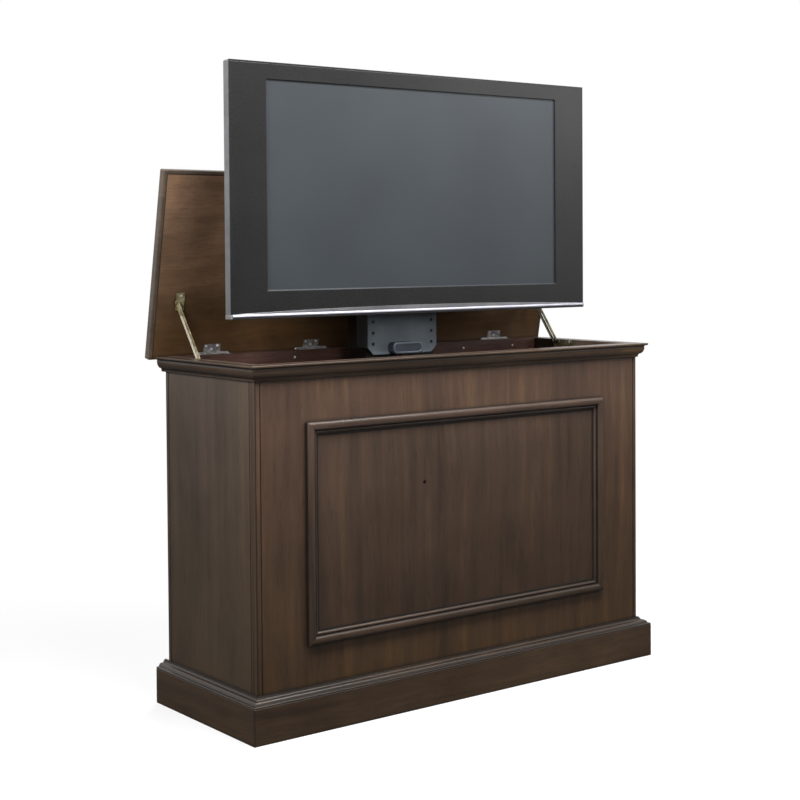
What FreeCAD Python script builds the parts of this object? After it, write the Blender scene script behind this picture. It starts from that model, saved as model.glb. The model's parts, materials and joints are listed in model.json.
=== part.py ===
import FreeCAD, Part
import os
import re

import Sketcher

# A cabinet with a television lift inside, shown with the lid up and the television raised.
# X runs to the right, Y to the back and Z up. The origin is the middle of the carcass, on the floor.
# "Front" is the side with the framed panel. "Raised" is how the lift stands here.

doc = FreeCAD.newDocument("TvLiftCabinet")
sheet = doc.addObject("Spreadsheet::Sheet", "Sizes")
Vec = FreeCAD.Vector
FRONT, LEFT, RIGHT, UP, DOWN = Vec(0, -1, 0), Vec(-1, 0, 0), Vec(1, 0, 0), Vec(0, 0, 1), Vec(0, 0, -1)

# Driving sizes: alias, value (mm or degrees), what it is.
SIZES = [
    # carcass
    ("tvRoom", 18, "gap between the television and each side panel"),
    ("bodyDepth", 406, "carcass depth, front face to back edge"),
    ("bodyHeight", 850, "floor to the rim under the lid"),
    ("boardThick", 20, "side and front board thickness"),
    ("backThick", 12, "back panel thickness"),
    ("floorThick", 18, "bottom panel thickness"),
    ("cornerEase", 4, "radius on the front vertical corners"),
    ("beadInset", 11, "corner to the quirk line beside it"),
    ("beadWide", 1.8, "width of the quirk line"),
    ("beadDeep", 1.5, "depth of the quirk line"),
    ("railHeight", 70, "height of the rear rail"),
    ("railThick", 25, "thickness of the rear rail"),
    # mouldings
    ("crownHeight", 38, "height of the crown moulding"),
    ("crownOut", 24, "how far the crown stands out"),
    ("crownNose", 6, "thickness of the crown's top nose"),
    ("crownBack", 15, "strip that closes the crown and plinth at the back"),
    ("plinthHeight", 84, "height of the plinth boards"),
    ("plinthThick", 28, "thickness of the plinth boards"),
    ("plinthEase", 1.5, "ease on the plinth's top edge"),
    ("baseHeight", 20, "height of the base moulding"),
    ("frameSide", 134, "carcass side to the front panel moulding"),
    ("frameTop", 100, "crown to the front panel moulding"),
    ("frameLow", 197, "floor to the front panel moulding"),
    ("stickWide", 32, "width of a front panel moulding stick"),
    ("stickHigh", 13, "how far the front moulding stands out"),
    ("eyeLeft", 126, "infra-red eye, left of the middle"),
    ("eyeHigh", 544, "infra-red eye above the floor"),
    ("eyeRadius", 4, "radius of the infra-red eye"),
    ("eyeProud", 1.5, "how far the infra-red eye stands out"),
    # cable and mains openings in the back panel
    ("grommetBore", 30, "inside radius of the cable grommet"),
    ("grommetWall", 3, "wall of the grommet's sleeve"),
    ("grommetFlange", 8, "how far the grommet's flange covers the panel"),
    ("flangeThick", 3, "thickness of the grommet's flange"),
    ("grommetSide", 400, "grommet, left of the middle"),
    ("grommetHigh", 170, "grommet above the floor"),
    ("inletSide", 400, "mains inlet, right of the middle"),
    ("inletHigh", 150, "mains inlet above the floor"),
    ("inletWide", 80, "mains inlet face width"),
    ("inletTall", 50, "mains inlet face height"),
    ("inletFace", 3, "thickness of the inlet's face plate"),
    ("inletLip", 6, "how far the inlet's face covers the panel"),
    ("inletDeep", 26, "depth of the inlet's body in the cabinet"),
    ("socketWide", 26, "width of the mains socket"),
    ("socketTall", 20, "height of the mains socket"),
    ("socketDeep", 16, "depth of the mains socket"),
    ("socketLeft", 18, "mains socket, left of the inlet's middle"),
    ("contactWide", 2, "width of a socket contact"),
    ("contactTall", 5, "height of a socket contact"),
    ("contactLong", 12, "length of a socket contact"),
    ("contactPitch", 7, "spacing of the socket contacts"),
    ("switchRight", 20, "rocker switch, right of the inlet's middle"),
    ("switchWide", 20, "width of the rocker switch"),
    ("switchTall", 24, "height of the rocker switch"),
    ("switchGap", 1, "clearance round the rocker"),
    ("switchDeep", 11, "depth of the rocker's window"),
    ("rockerPin", 1.5, "radius of the rocker's pivots"),
    ("rockerGrip", 2, "how far the rocker's pivots enter the inlet"),
    ("rockerBack", 5, "rocker's pivot behind the inlet's face"),
    ("rockerCrest", 6, "pivot to the rocker's raised middle"),
    ("rockerEdge", 4.5, "pivot to the rocker's flat ends"),
    ("rockerTail", 4, "pivot to the rocker's back"),
    ("rockerNeck", 14, "height of the rocker's back"),
    ("switchTilt", 6, "how far the rocker is tilted when off"),
    # lid
    ("lidThick", 22, "lid thickness"),
    ("lidSide", 12, "lid past the crown at each side"),
    ("lidFront", 9, "lid past the crown at the front"),
    ("lidTail", 9.6, "lid past the hinge line at the back"),
    ("lidGap", 1, "gap between the rim and the shut lid"),
    ("lidOpen", 79, "how far the lid stands open"),
    ("lidEase", 3.5, "radius on the lid's edges"),
    # hinges
    ("pinRadius", 2.5, "hinge pin radius"),
    ("pinFit", 0.05, "radial clearance of a pin in its bore"),
    ("pinEnd", 1, "how far a hinge pin shows at each end"),
    ("knuckleRadius", 4.2, "outer radius of a hinge knuckle"),
    ("knuckleGap", 0.4, "gap between neighbouring knuckles"),
    ("knuckleRoom", 0.6, "room round the knuckles in the lid"),
    ("hingeBehind", 4.4, "hinge line behind the crown's back"),
    ("leafThick", 2, "hinge leaf thickness"),
    ("railLeafLong", 96, "length of the leaf on the rail"),
    ("railLeafDeep", 20, "depth of the leaf on the rail"),
    ("lidLeafLong", 48, "length of the leaf on the lid"),
    ("lidLeafDeep", 24, "depth of the leaf on the lid"),
    ("hingeInner", 168, "inner hinges from the middle"),
    ("hingeEnd", 140, "outer hinges from the carcass side"),
    # wood screws
    ("screwRadius", 1.75, "shank radius of a wood screw"),
    ("screwHead", 3.6, "head radius of a wood screw"),
    ("screwHeadHigh", 1.2, "thickness of a wood screw's head"),
    ("screwLong", 13, "length of a wood screw"),
    ("screwEdge", 7.5, "screws from the ends of the leaf or plate they hold"),
    ("railScrewIn", 9, "rail leaf screws from the crown's back"),
    ("lidScrewIn", 5.5, "outer lid leaf screws from the leaf's edge"),
    # lid stays
    ("stayReach", 135, "hinge line to the stay's lower pin, along the rim"),
    ("stayDrop", 4, "stay's lower pin below the hinge line"),
    ("stayLidDrop", 9, "stay's upper pin below the lid's hinge plane"),
    ("stayPlate", 2.5, "thickness of the stay brackets"),
    ("stayPin", 2.5, "stay pin radius"),
    ("stayFit", 0.15, "clearance of the lower pin in the slot"),
    ("stayHead", 4.4, "stay pin head radius"),
    ("stayHeadThick", 1.5, "stay pin head thickness"),
    ("stayAir", 0.5, "gap between a stay bar and its bracket"),
    ("barThick", 3, "stay bar thickness"),
    ("barWide", 14, "stay bar width"),
    ("slotStart", 40, "stay bar's slot from the upper pin"),
    ("bracketRim", 0.5, "cabinet side stay bracket below the rim"),
    ("bracketWide", 62, "cabinet side stay bracket, in front of the pin"),
    ("bracketTail", 8, "cabinet side stay bracket, behind the pin"),
    ("bracketDown", 28, "cabinet side stay bracket, below the rim"),
    ("bracketToe", 9, "height of the stay bracket's front end"),
    ("bracketHeel", 26, "pin to the slope of the stay bracket"),
    ("earRound", 4.5, "lid side stay bracket metal round its pin"),
    ("lidPlateLong", 44, "lid side stay bracket, length"),
    ("lidPlateWide", 20, "lid side stay bracket, width"),
    # lift
    ("liftTravel", 810, "how far the television travels"),
    ("liftClear", 4, "lowered stages above the lift's base plate"),
    ("basePlate", 6, "lift base plate thickness"),
    ("basePlateWide", 290, "lift base plate width"),
    ("basePlateDeep", 120, "lift base plate depth"),
    ("plateFront", 43, "front face of the mount plate"),
    ("plateWide", 224, "width of the mount plate"),
    ("plateThick", 3, "thickness of the mount plate"),
    ("plateCorner", 18, "chamfer on the mount plate's lower corners"),
    ("carriageHigh", 482, "height of the carriage"),
    ("flangeDeep", 46, "depth of the carriage channel"),
    ("slideGap", 0.4, "running gap between lift stages"),
    ("stageWall", 2.5, "wall of the lift's channels and mast"),
    ("beltRoom", 5.5, "space for the belt between carriage and middle stage"),
    ("middleHigh", 690, "height of the middle stage"),
    ("middleLip", 21, "width of the middle stage's rear lips"),
    ("capThick", 3, "cap on top of the middle stage"),
    ("capClear", 2, "lowered cap above the mast"),
    ("mastBehind", 28, "mast's front behind the middle stage's front"),
    ("mastDeep", 50, "depth of the mast"),
    ("spareHoleRadius", 4, "radius of the spare holes in the mount plate"),
    ("spareHoleIn", 17, "spare holes from the mount plate's side"),
    ("spareHoleUp", 27, "lowest spare hole above the plate's lower edge"),
    ("spareHolePitch", 28.5, "spacing of the spare holes"),
    ("coverWide", 96, "carriage end cover, width"),
    ("coverHigh", 31, "carriage end cover, height"),
    ("coverDeep", 25, "carriage end cover, depth"),
    ("coverRound", 11, "carriage end cover, corner radius"),
    ("tubeRadius", 19, "actuator tube outer radius"),
    ("tubeWall", 8, "actuator tube wall"),
    ("tubeHigh", 480, "actuator tube length"),
    ("rodGap", 0.4, "running gap round the actuator rod"),
    ("rodClear", 11, "lowered actuator rod above the gearbox"),
    ("gearHigh", 40, "gearbox height"),
    ("gearWall", 6, "gearbox past the tube and the motor, sideways"),
    ("gearEase", 3, "radius on the gearbox's upright edges"),
    ("motorRadius", 20, "motor radius"),
    ("motorHigh", 109, "motor length"),
    ("motorBell", 14, "radius of the motor's end cap"),
    ("motorBellHigh", 6, "height of the motor's end cap"),
    ("motorGap", 5, "gap between the motor and the actuator tube"),
    ("braceUp", 616, "mast brace above the lift's base plate"),
    ("braceWide", 120, "mast brace width"),
    ("braceTall", 40, "mast brace height"),
    ("braceThick", 3, "mast brace wall"),
    ("pulleyRadius", 11, "belt pulley radius"),
    ("pulleyWide", 12, "belt pulley rim width"),
    ("pulleyHub", 6, "belt pulley hub radius"),
    ("pulleyAir", 0.5, "gap between a pulley hub and its cheek"),
    ("pulleyInset", 18, "belt pulley axis from the stage's end"),
    ("axleRadius", 3, "belt pulley axle radius"),
    ("cheekThick", 6, "thickness of the pulleys' cheeks"),
    ("cheekReach", 14, "pulley axis to the edges of its cheeks"),
    ("beltThick", 2, "belt thickness"),
    ("beltWide", 10, "belt width"),
    ("beltGap", 0.3, "running gap of the belt"),
    ("beltSlotWide", 30, "slot for the belt in the middle stage"),
    ("clampHigh", 20, "belt clamp height"),
    ("clampWide", 18, "belt clamp width"),
    ("carriageClampUp", 40, "carriage belt clamp above its lower edge"),
    ("mastClampDown", 45, "mast belt clamp below the mast's top"),
    ("boxWide", 150, "control box width"),
    ("boxDeep", 60, "control box depth"),
    ("boxHigh", 45, "control box height"),
    ("boxSide", 300, "control box, right of the middle"),
    ("boxBehind", 11, "gap between the control box and the back panel"),
    ("boxEase", 4, "radius on the control box's edges"),
    # television
    ("tvWide", 1138, "television width"),
    ("tvHigh", 607, "television height"),
    ("tvUp", 107, "television's lower edge above the carriage's"),
    ("tvFront", -40, "television's front face"),
    ("bandDeep", 22, "depth of the silver edge band"),
    ("bandThick", 4, "thickness of the silver edge band"),
    ("bandBack", 1.5, "edge band behind the front face"),
    ("tvCorner", 6, "corner radius of the television"),
    ("bezelSide", 103.5, "television's side to the screen"),
    ("bezelLow", 66, "television's lower edge to the screen"),
    ("bezelTop", 40, "television's top to the screen"),
    ("screenBack", 5, "screen behind the front face"),
    ("screenThick", 10, "screen thickness"),
    ("screenLap", 8, "screen behind the frame's edge"),
    ("trimEnd", 8, "height of the lower trim at its ends"),
    ("trimMiddle", 22, "height of the lower trim in the middle"),
    ("trimProud", 2, "how far the lower trim stands proud"),
    ("rearStep", 6, "rear cover's slope inside the edge band"),
    ("rearInset", 75, "rear cover's flat back inside the television's edge"),
    ("rearDeep", 40, "depth of the rear cover behind the edge band"),
    ("rearWall", 3, "wall of the rear cover"),
    ("ventHigh", 42, "height of a vent slot"),
    ("ventWide", 7, "width of a vent slot"),
    ("ventPitch", 18, "spacing of the vent slots"),
    ("ventDown", 58, "vent slots' lower end below the flat back's top"),
    ("ventRow", 560, "length of the row of vent slots"),
    ("tvRailWide", 24, "television rail width"),
    ("tvRailHigh", 400, "television rail height"),
    ("tvRailUp", 60, "television rail above the television's lower edge"),
    ("tvRailWall", 2.5, "television rail wall"),
    ("boltRadius", 3, "television bolt radius"),
    ("boltHead", 6, "television bolt head radius"),
    ("boltHeadHigh", 3.5, "television bolt head height"),
    ("boltGrip", 11.5, "how far a television bolt enters the rear cover"),
    ("boltUp", 135, "lower television bolts above the television's lower edge"),
    ("boltSpan", 200, "vertical distance between television bolts"),
]

for row, (alias, value, note) in enumerate(SIZES, start=1):
    sheet.set(f"A{row}", alias)
    sheet.set(f"B{row}", str(value))
    sheet.set(f"C{row}", note)
    sheet.setAlias(f"B{row}", alias)
doc.recompute()

# Places worked out from the driving sizes. Each is an expression over the sheet and other places.
PLACES = {
    "tvHalf": "tvWide / 2",
    "sideInner": "tvHalf + tvRoom",
    "halfWide": "sideInner + boardThick",
    "halfDeep": "bodyDepth / 2",
    "frontInner": "-halfDeep + boardThick",
    "backInner": "halfDeep - backThick",
    "crownLow": "bodyHeight - crownHeight",
    "crownSide": "halfWide + crownOut",
    "crownRear": "halfDeep + crownBack",
    "railLow": "bodyHeight - railHeight",
    "baseMouldTop": "plinthHeight + baseHeight",
    "frameInner": "halfWide - frameSide - stickWide",
    "frameInLow": "frameLow + stickWide",
    "frameInHigh": "crownLow - frameTop - stickWide",
    "inletLeft": "inletSide - inletWide / 2",
    "inletRight": "inletSide + inletWide / 2",
    "inletBottom": "inletHigh - inletTall / 2",
    "inletTop": "inletHigh + inletTall / 2",
    "inletOuter": "halfDeep + inletFace",
    "socketX": "inletSide - socketLeft",
    "switchX": "inletSide + switchRight",
    "rockerY": "inletOuter - rockerBack",
    "hingeY": "crownRear + hingeBehind",
    "hingeZ": "bodyHeight + lidGap / 2",
    "hingeOuter": "halfWide - hingeEnd",
    "lidLow": "bodyHeight + lidGap",
    "lidHigh": "lidLow + lidThick",
    "stayRadius": "sqrt(stayReach^2 + stayDrop^2)",
    "stayPinY": "hingeY - stayReach",
    "stayPinZ": "hingeZ - stayDrop",
    "lidPinY": "hingeY - sqrt(stayRadius^2 - stayLidDrop^2)",
    "lidPinZ": "hingeZ - stayLidDrop",
    "pinRestY": "hingeY + (lidPinY - hingeY) * cos(lidOpen) + (lidPinZ - hingeZ) * sin(lidOpen)",
    "pinRestZ": "hingeZ - (lidPinY - hingeY) * sin(lidOpen) + (lidPinZ - hingeZ) * cos(lidOpen)",
    "stayLean": "atan(stayDrop / stayReach) / 1 deg",
    "stayAngle": "lidOpen - asin(stayLidDrop / stayRadius) / 1 deg + stayLean",
    "staySpan": "2 * stayRadius * sin(stayAngle / 2)",
    "barTurn": "stayAngle / 2 - stayLean",
    "bracketX": "sideInner - stayPlate",
    "barOuterX": "bracketX - stayAir",
    "barInnerX": "barOuterX - barThick",
    "earX": "barInnerX - stayAir",
    "earInnerX": "earX - stayPlate",
    "earRadius": "stayPin + earRound",
    "baseTop": "floorThick + basePlate",
    "carriageLow": "baseTop + liftClear + liftTravel",
    "carriageTop": "carriageLow + carriageHigh",
    "plateRear": "plateFront + plateThick",
    "webRear": "plateRear + stageWall",
    "carriageRear": "plateRear + flangeDeep",
    "middleLow": "baseTop + liftClear + liftTravel / 2",
    "middleTop": "middleLow + middleHigh",
    "capLow": "middleTop - capThick",
    "middleFront": "webRear + beltRoom",
    "middleHalf": "plateWide / 2 - stageWall - slideGap",
    "mastHalf": "middleHalf - stageWall - slideGap",
    "mastFront": "middleFront + mastBehind",
    "mastRear": "mastFront + mastDeep",
    "mastTop": "baseTop + liftClear + middleHigh - capThick - capClear",
    "lipFront": "mastRear + slideGap",
    "middleRear": "lipFront + stageWall",
    "screwY": "mastFront + mastDeep / 2",
    "gearTop": "baseTop + gearHigh",
    "gearHalf": "tubeRadius + 1",
    "motorX": "tubeRadius + motorGap + motorRadius",
    "rodRadius": "tubeRadius - tubeWall - rodGap",
    "braceLow": "baseTop + braceUp",
    "pulleyY": "(webRear + mastFront) / 2",
    "pulleyLow": "middleLow + pulleyInset",
    "pulleyHigh": "middleTop - pulleyInset",
    "beltInner": "pulleyRadius + beltGap",
    "beltOuter": "beltInner + beltThick",
    "cheekX": "beltSlotWide / 2",
    "hubX": "cheekX - pulleyAir",
    "tvLow": "carriageLow + tvUp",
    "tvTop": "tvLow + tvHigh",
    "tvInner": "tvHalf - bandThick",
    "screenY": "tvFront + screenBack",
    "screenRear": "screenY + screenThick",
    "bandRear": "tvFront + bandBack + bandDeep",
    "rearBack": "bandRear + rearDeep",
    "trimRise": "trimMiddle - trimEnd",
    "boltX": "(plateWide - tvRailWide) / 2",
    "boltLow": "tvLow + boltUp",
    "boltHigh": "boltLow + boltSpan",
}

NAMES = {alias for alias, value, note in SIZES}


def full(text):
    """Spell an expression out with the sheet's name and the places it uses."""
    def swap(match):
        word = match.group(0)
        if word in PLACES:
            return "(" + full(PLACES[word]) + ")"
        if word in NAMES:
            return "Sizes." + word
        return word
    return re.sub(r"[A-Za-z_]\w*", swap, str(text))


def val(text):
    """The number an expression gives now."""
    result = sheet.evalExpression(full(text))
    return float(getattr(result, "Value", result))


def bind(item, prop, text):
    item.setExpression(prop, full(text))


def both(half):
    """The span from -half to half."""
    return f"-({half})", half


def sided(sign, inner, outer):
    """The X span between two distances from the middle, on the left (-1) or the right (1)."""
    return (inner, outer) if sign > 0 else (f"-({outer})", f"-({inner})")


nodes = []


def node(item, label):
    """Name a finished sub-part and keep it for export."""
    item.Label = label
    nodes.append(item)
    return item


# primitives

def box(name, x, y, z):
    """A block between pairs of expressions along X, Y and Z."""
    item = doc.addObject("Part::Box", name)
    for prop, axis, pair in (("Length", "x", x), ("Width", "y", y), ("Height", "z", z)):
        bind(item, prop, f"({pair[1]}) - ({pair[0]})")
        bind(item, f"Placement.Base.{axis}", pair[0])
    return item


AXIS_TURN = {
    "x": FreeCAD.Rotation(Vec(0, 1, 0), 90),
    "y": FreeCAD.Rotation(Vec(1, 0, 0), -90),
    "z": FreeCAD.Rotation(),
}


def rod(name, axis, centre, radius, span):
    """A cylinder along an axis: centre gives the other two places, span its two ends."""
    item = doc.addObject("Part::Cylinder", name)
    item.Placement = FreeCAD.Placement(Vec(), AXIS_TURN[axis])
    bind(item, "Radius", radius)
    bind(item, "Height", f"({span[1]}) - ({span[0]})")
    others = [letter for letter in "xyz" if letter != axis]
    bind(item, f"Placement.Base.{axis}", span[0])
    for letter, text in zip(others, centre):
        bind(item, f"Placement.Base.{letter}", text)
    return item


def frustum(name, y, front, back):
    """A hollow's or hood's block that tapers along Y; front and back are (half width, low, high)."""
    item = doc.addObject("Part::Wedge", name)
    bind(item, "Ymin", y[0])
    bind(item, "Ymax", y[1])
    for end, (half, low, high) in (("", front), ("2", back)):
        bind(item, f"X{end}min", f"-({half})")
        bind(item, f"X{end}max", half)
        bind(item, f"Z{end}min", low)
        bind(item, f"Z{end}max", high)
    return item


def joined(name, *parts):
    item = doc.addObject("Part::MultiFuse", name)
    item.Shapes = list(parts)
    return item


def cut(name, base, *tools):
    item = doc.addObject("Part::Cut", name)
    item.Base = base
    item.Tool = tools[0] if len(tools) == 1 else joined(name + "_tool", *tools)
    return item


def grouped(name, *parts):
    """Separate solids that share one node."""
    item = doc.addObject("Part::Compound", name)
    item.Links = list(parts)
    return item


def leaned(name, item, angle, y, z):
    """A finished shape turned back by an angle about X at the origin, then moved to y and z."""
    moved = grouped(name, item)
    moved.Placement = FreeCAD.Placement(Vec(), FreeCAD.Rotation(Vec(1, 0, 0), 1))
    bind(moved, "Placement.Rotation.Angle", f"-({angle})")
    bind(moved, "Placement.Base.y", y)
    bind(moved, "Placement.Base.z", z)
    return moved


def turned(name, item, angle, y, z):
    """A finished shape turned back by an angle about the line along X through y and z."""
    return leaned(name, item, angle,
                  f"({y}) - ({y}) * cos({angle}) - ({z}) * sin({angle})",
                  f"({z}) + ({y}) * sin({angle}) - ({z}) * cos({angle})")


def screw(name, axis, centre, face, into):
    """A wood screw, its head flush with a face and its shank running into the wood (1 or -1)."""
    def span(length):
        return (face, f"{face} + {length}") if into > 0 else (f"{face} - {length}", face)

    head = rod(name + "_head", axis, centre, "screwHead", span("screwHeadHigh"))
    shank = rod(name + "_shank", axis, centre, "screwRadius", span("screwLong"))
    return joined(name, head, shank)


# sketched bodies

PLANE_SIGN = {"XY_Plane": 1, "XZ_Plane": -1, "YZ_Plane": 1}


def sketch(body, name, role, offset, loops):
    """A sketch parallel to an origin plane; loops are polygons or (x, y, radius) circles."""
    item = body.newObject("Sketcher::SketchObject", name)
    plane = [part for part in body.Origin.OriginFeatures if part.Role == role][0]
    item.AttachmentSupport = [(plane, "")]
    item.MapMode = "FlatFace"
    bind(item, "AttachmentOffset.Base.z", f"{PLANE_SIGN[role]} * ({offset})")

    def fix(kind, *args):
        number = item.addConstraint(Sketcher.Constraint(kind, *args[:-1], val(args[-1])))
        bind(item, f"Constraints[{number}]", args[-1])

    for loop in loops:
        first = item.GeometryCount
        if isinstance(loop, tuple):
            x, y, radius = loop
            item.addGeometry(Part.Circle(Vec(val(x), val(y), 0), Vec(0, 0, 1), val(radius)))
            fix("DistanceX", first, 3, x)
            fix("DistanceY", first, 3, y)
            fix("Radius", first, radius)
            continue
        corners = [Vec(val(x), val(y), 0) for x, y in loop]
        count = len(loop)
        for index in range(count):
            item.addGeometry(Part.LineSegment(corners[index], corners[(index + 1) % count]))
        for index in range(count):
            item.addConstraint(Sketcher.Constraint(
                "Coincident", first + index, 2, first + (index + 1) % count, 1))
        for index, (x, y) in enumerate(loop):
            fix("DistanceX", first + index, 1, x)
            fix("DistanceY", first + index, 1, y)
    return item


def pad(body, name, role, span, loops):
    """Pad the loops between the two places of span along the plane's axis."""
    start = span[0] if PLANE_SIGN[role] > 0 else span[1]
    item = body.newObject("PartDesign::Pad", name)
    item.Profile = sketch(body, name + "_sketch", role, start, loops)
    bind(item, "Length", f"({span[1]}) - ({span[0]})")
    return item


def pocket(body, name, role, span, loops):
    """Cut the loops out of the body between the two places of span."""
    start = span[1] if PLANE_SIGN[role] > 0 else span[0]
    item = body.newObject("PartDesign::Pocket", name)
    item.Profile = sketch(body, name + "_sketch", role, start, loops)
    bind(item, "Length", f"({span[1]}) - ({span[0]})")
    return item


def soften(body, name, feature, radius, wanted):
    """Round the edges of the body's last feature that wanted(edge) picks."""
    doc.recompute()
    edges = [f"Edge{number}" for number, edge in enumerate(feature.Shape.Edges, start=1) if wanted(edge)]
    item = body.newObject("PartDesign::Fillet", name)
    item.Base = (feature, edges)
    bind(item, "Radius", radius)
    return item


def rect(x, y):
    return [(x[0], y[0]), (x[1], y[0]), (x[1], y[1]), (x[0], y[1])]


def newBody(name):
    return doc.addObject("PartDesign::Body", name)


def along(edge, axis):
    """True for a straight edge parallel to the axis."""
    if edge.Curve.TypeId != "Part::GeomLine":
        return False
    step = edge.Vertexes[-1].Point - edge.Vertexes[0].Point
    return abs(getattr(step, axis)) > 0.999 * step.Length


def at(edge, axis, places):
    """True where the middle of the edge lies at one of the places along the axis."""
    here = getattr(edge.CenterOfMass, axis)
    return any(abs(here - val(place)) < 0.01 for place in places)


# screws and bolts come first, because the pieces they hold are cut by them

def hingePlaces():
    return "-hingeOuter", "-hingeInner", "hingeInner", "hingeOuter"


def railScrews():
    reach = "railLeafLong / 2 - screwEdge"
    y = "crownRear - railScrewIn"
    return [screw("rail_screw", "z", (f"{x} + {step} * ({reach})", y), "bodyHeight", -1)
            for x in hingePlaces() for step in (-1, 0, 1)]


def bracketScrews():
    screws = []
    for sign in (-1, 1):
        face = "bracketX" if sign > 0 else "-bracketX"
        for y in ("stayPinY - screwEdge * 2", "stayPinY - bracketWide + screwEdge"):
            place = (y, "bodyHeight - bracketRim - screwEdge * 0.75")
            screws.append(screw("bracket_screw", "x", place, face, sign))
    return screws


def baseScrews():
    return [screw("base_screw", "z", (f"{sign} * (basePlateWide / 2 - screwEdge)",
                                      f"screwY + {step} * (basePlateDeep / 2 - screwEdge)"), "baseTop", -1)
            for sign in (-1, 1) for step in (-1, 1)]


def lidScrews():
    """Screws of the shut lid: two at each leaf's outer edge, one nearer the knuckle, two per bracket."""
    screws = []
    outer = "hingeY - lidLeafDeep + lidScrewIn"
    for x in hingePlaces():
        for step, y in ((-1, outer), (1, outer), (0, "hingeY - lidLeafDeep / 2 + screwEdge / 3")):
            place = (f"{x} + {step} * (lidLeafLong / 2 - screwEdge)", y)
            screws.append(screw("leaf_screw", "z", place, "lidLow", 1))
    for sign in (-1, 1):
        for step in (-1, 1):
            place = (f"{sign} * (earInnerX - lidPlateWide / 2)",
                     f"lidPinY + {step} * (lidPlateLong / 2 - screwEdge)")
            screws.append(screw("plate_screw", "z", place, "lidLow - stayPlate", 1))
    return screws


def tvBolts():
    bolts = []
    for sign in (-1, 1):
        for z in ("boltLow", "boltHigh"):
            place = (f"{sign} * boltX", z)
            shank = rod("bolt_shank", "y", place, "boltRadius", ("rearBack - boltGrip", "webRear"))
            head = rod("bolt_head", "y", place, "boltHead", ("webRear", "webRear + boltHeadHigh"))
            bolts.append(joined("tv_bolt", shank, head))
    return bolts


# carcass

def leafSeats(name):
    """Shallow seats for the leaves on top of the rear rail and the crown's back strip."""
    return [box(name, (f"{x} - railLeafLong / 2", f"{x} + railLeafLong / 2"),
                ("crownRear - railLeafDeep", "crownRear"), ("bodyHeight - leafThick", "bodyHeight"))
            for x in hingePlaces()]


def carcass(screwsInRail, screwsInSides, screwsInFloor):
    board = box("bottom_board", both("sideInner"), ("frontInner", "backInner"), ("0", "floorThick"))
    node(cut("bottom_panel", board, *screwsInFloor), "bottom_panel")

    upright = ("baseMouldTop", "crownLow")
    for sign, name in ((-1, "left"), (1, "right")):
        panel = newBody(f"side_board_{name}")
        pad(panel, f"side_pad_{name}", "YZ_Plane", sided(sign, "sideInner", "halfWide"),
            [rect(("frontInner", "halfDeep"), ("0", "bodyHeight"))])
        # quirk lines beside the front joint and the back edge
        lines = [rect((place, f"{place} + beadWide"), upright)
                 for place in ("frontInner + beadInset / 2", "halfDeep - beadInset")]
        pocket(panel, f"side_quirk_{name}", "YZ_Plane", sided(sign, "halfWide - beadDeep", "halfWide"), lines)
        own = screwsInSides[:2] if sign < 0 else screwsInSides[2:]
        node(cut(f"side_panel_{name}", panel, *own), f"side_panel_{name}")

    front = newBody("front_panel")
    board = pad(front, "front_board", "XZ_Plane", ("-halfDeep", "frontInner"),
                [rect(both("halfWide"), ("0", "bodyHeight"))])
    soften(front, "front_corner_ease", board, "cornerEase",
           lambda edge: along(edge, "z") and at(edge, "y", ["-halfDeep"]))
    lines = [rect((place, f"{place} + beadWide"), upright)
             for place in ("-halfWide + beadInset", "halfWide - beadInset - beadWide")]
    pocket(front, "front_quirk", "XZ_Plane", ("-halfDeep", "-halfDeep + beadDeep"), lines)
    pocket(front, "eye_hole", "XZ_Plane", ("-halfDeep", "frontInner"),
           [("-eyeLeft", "eyeHigh", "eyeRadius")])
    node(front, "front_panel")

    back = newBody("back_panel")
    pad(back, "back_board", "XZ_Plane", ("backInner", "halfDeep"),
        [rect(both("sideInner"), ("0", "railLow"))])
    pocket(back, "cable_hole", "XZ_Plane", ("backInner", "halfDeep"),
           [("-grommetSide", "grommetHigh", "grommetBore + grommetWall")])
    pocket(back, "inlet_hole", "XZ_Plane", ("backInner", "halfDeep"), [inletOutline()])
    node(back, "back_panel")

    rail = box("rail_board", both("sideInner"), ("halfDeep - railThick", "halfDeep"),
               ("railLow", "bodyHeight"))
    node(cut("rear_rail", rail, *leafSeats("rail_seat"), *screwsInRail), "rear_rail")

    node(rod("ir_eye", "y", ("-eyeLeft", "eyeHigh"), "eyeRadius", ("-halfDeep - eyeProud", "frontInner")),
         "ir_eye")


# mouldings

def outline(points):
    """A closed wire of (out, up, bulge) points, drawn anticlockwise.

    A bulge makes the run to the next point an arc that stands out by that much.
    """
    edges = []
    for index, (x, z, bulge) in enumerate(points):
        ahead = points[(index + 1) % len(points)]
        start, end = Vec(x, 0, z), Vec(ahead[0], 0, ahead[1])
        if bulge:
            chord = end - start
            middle = (start + end) * 0.5 + Vec(chord.z, 0, -chord.x).normalize() * bulge
            edges.append(Part.Arc(start, middle, end).toShape())
        else:
            edges.append(Part.LineSegment(start, end).toShape())
    return Part.Wire(edges)


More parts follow.
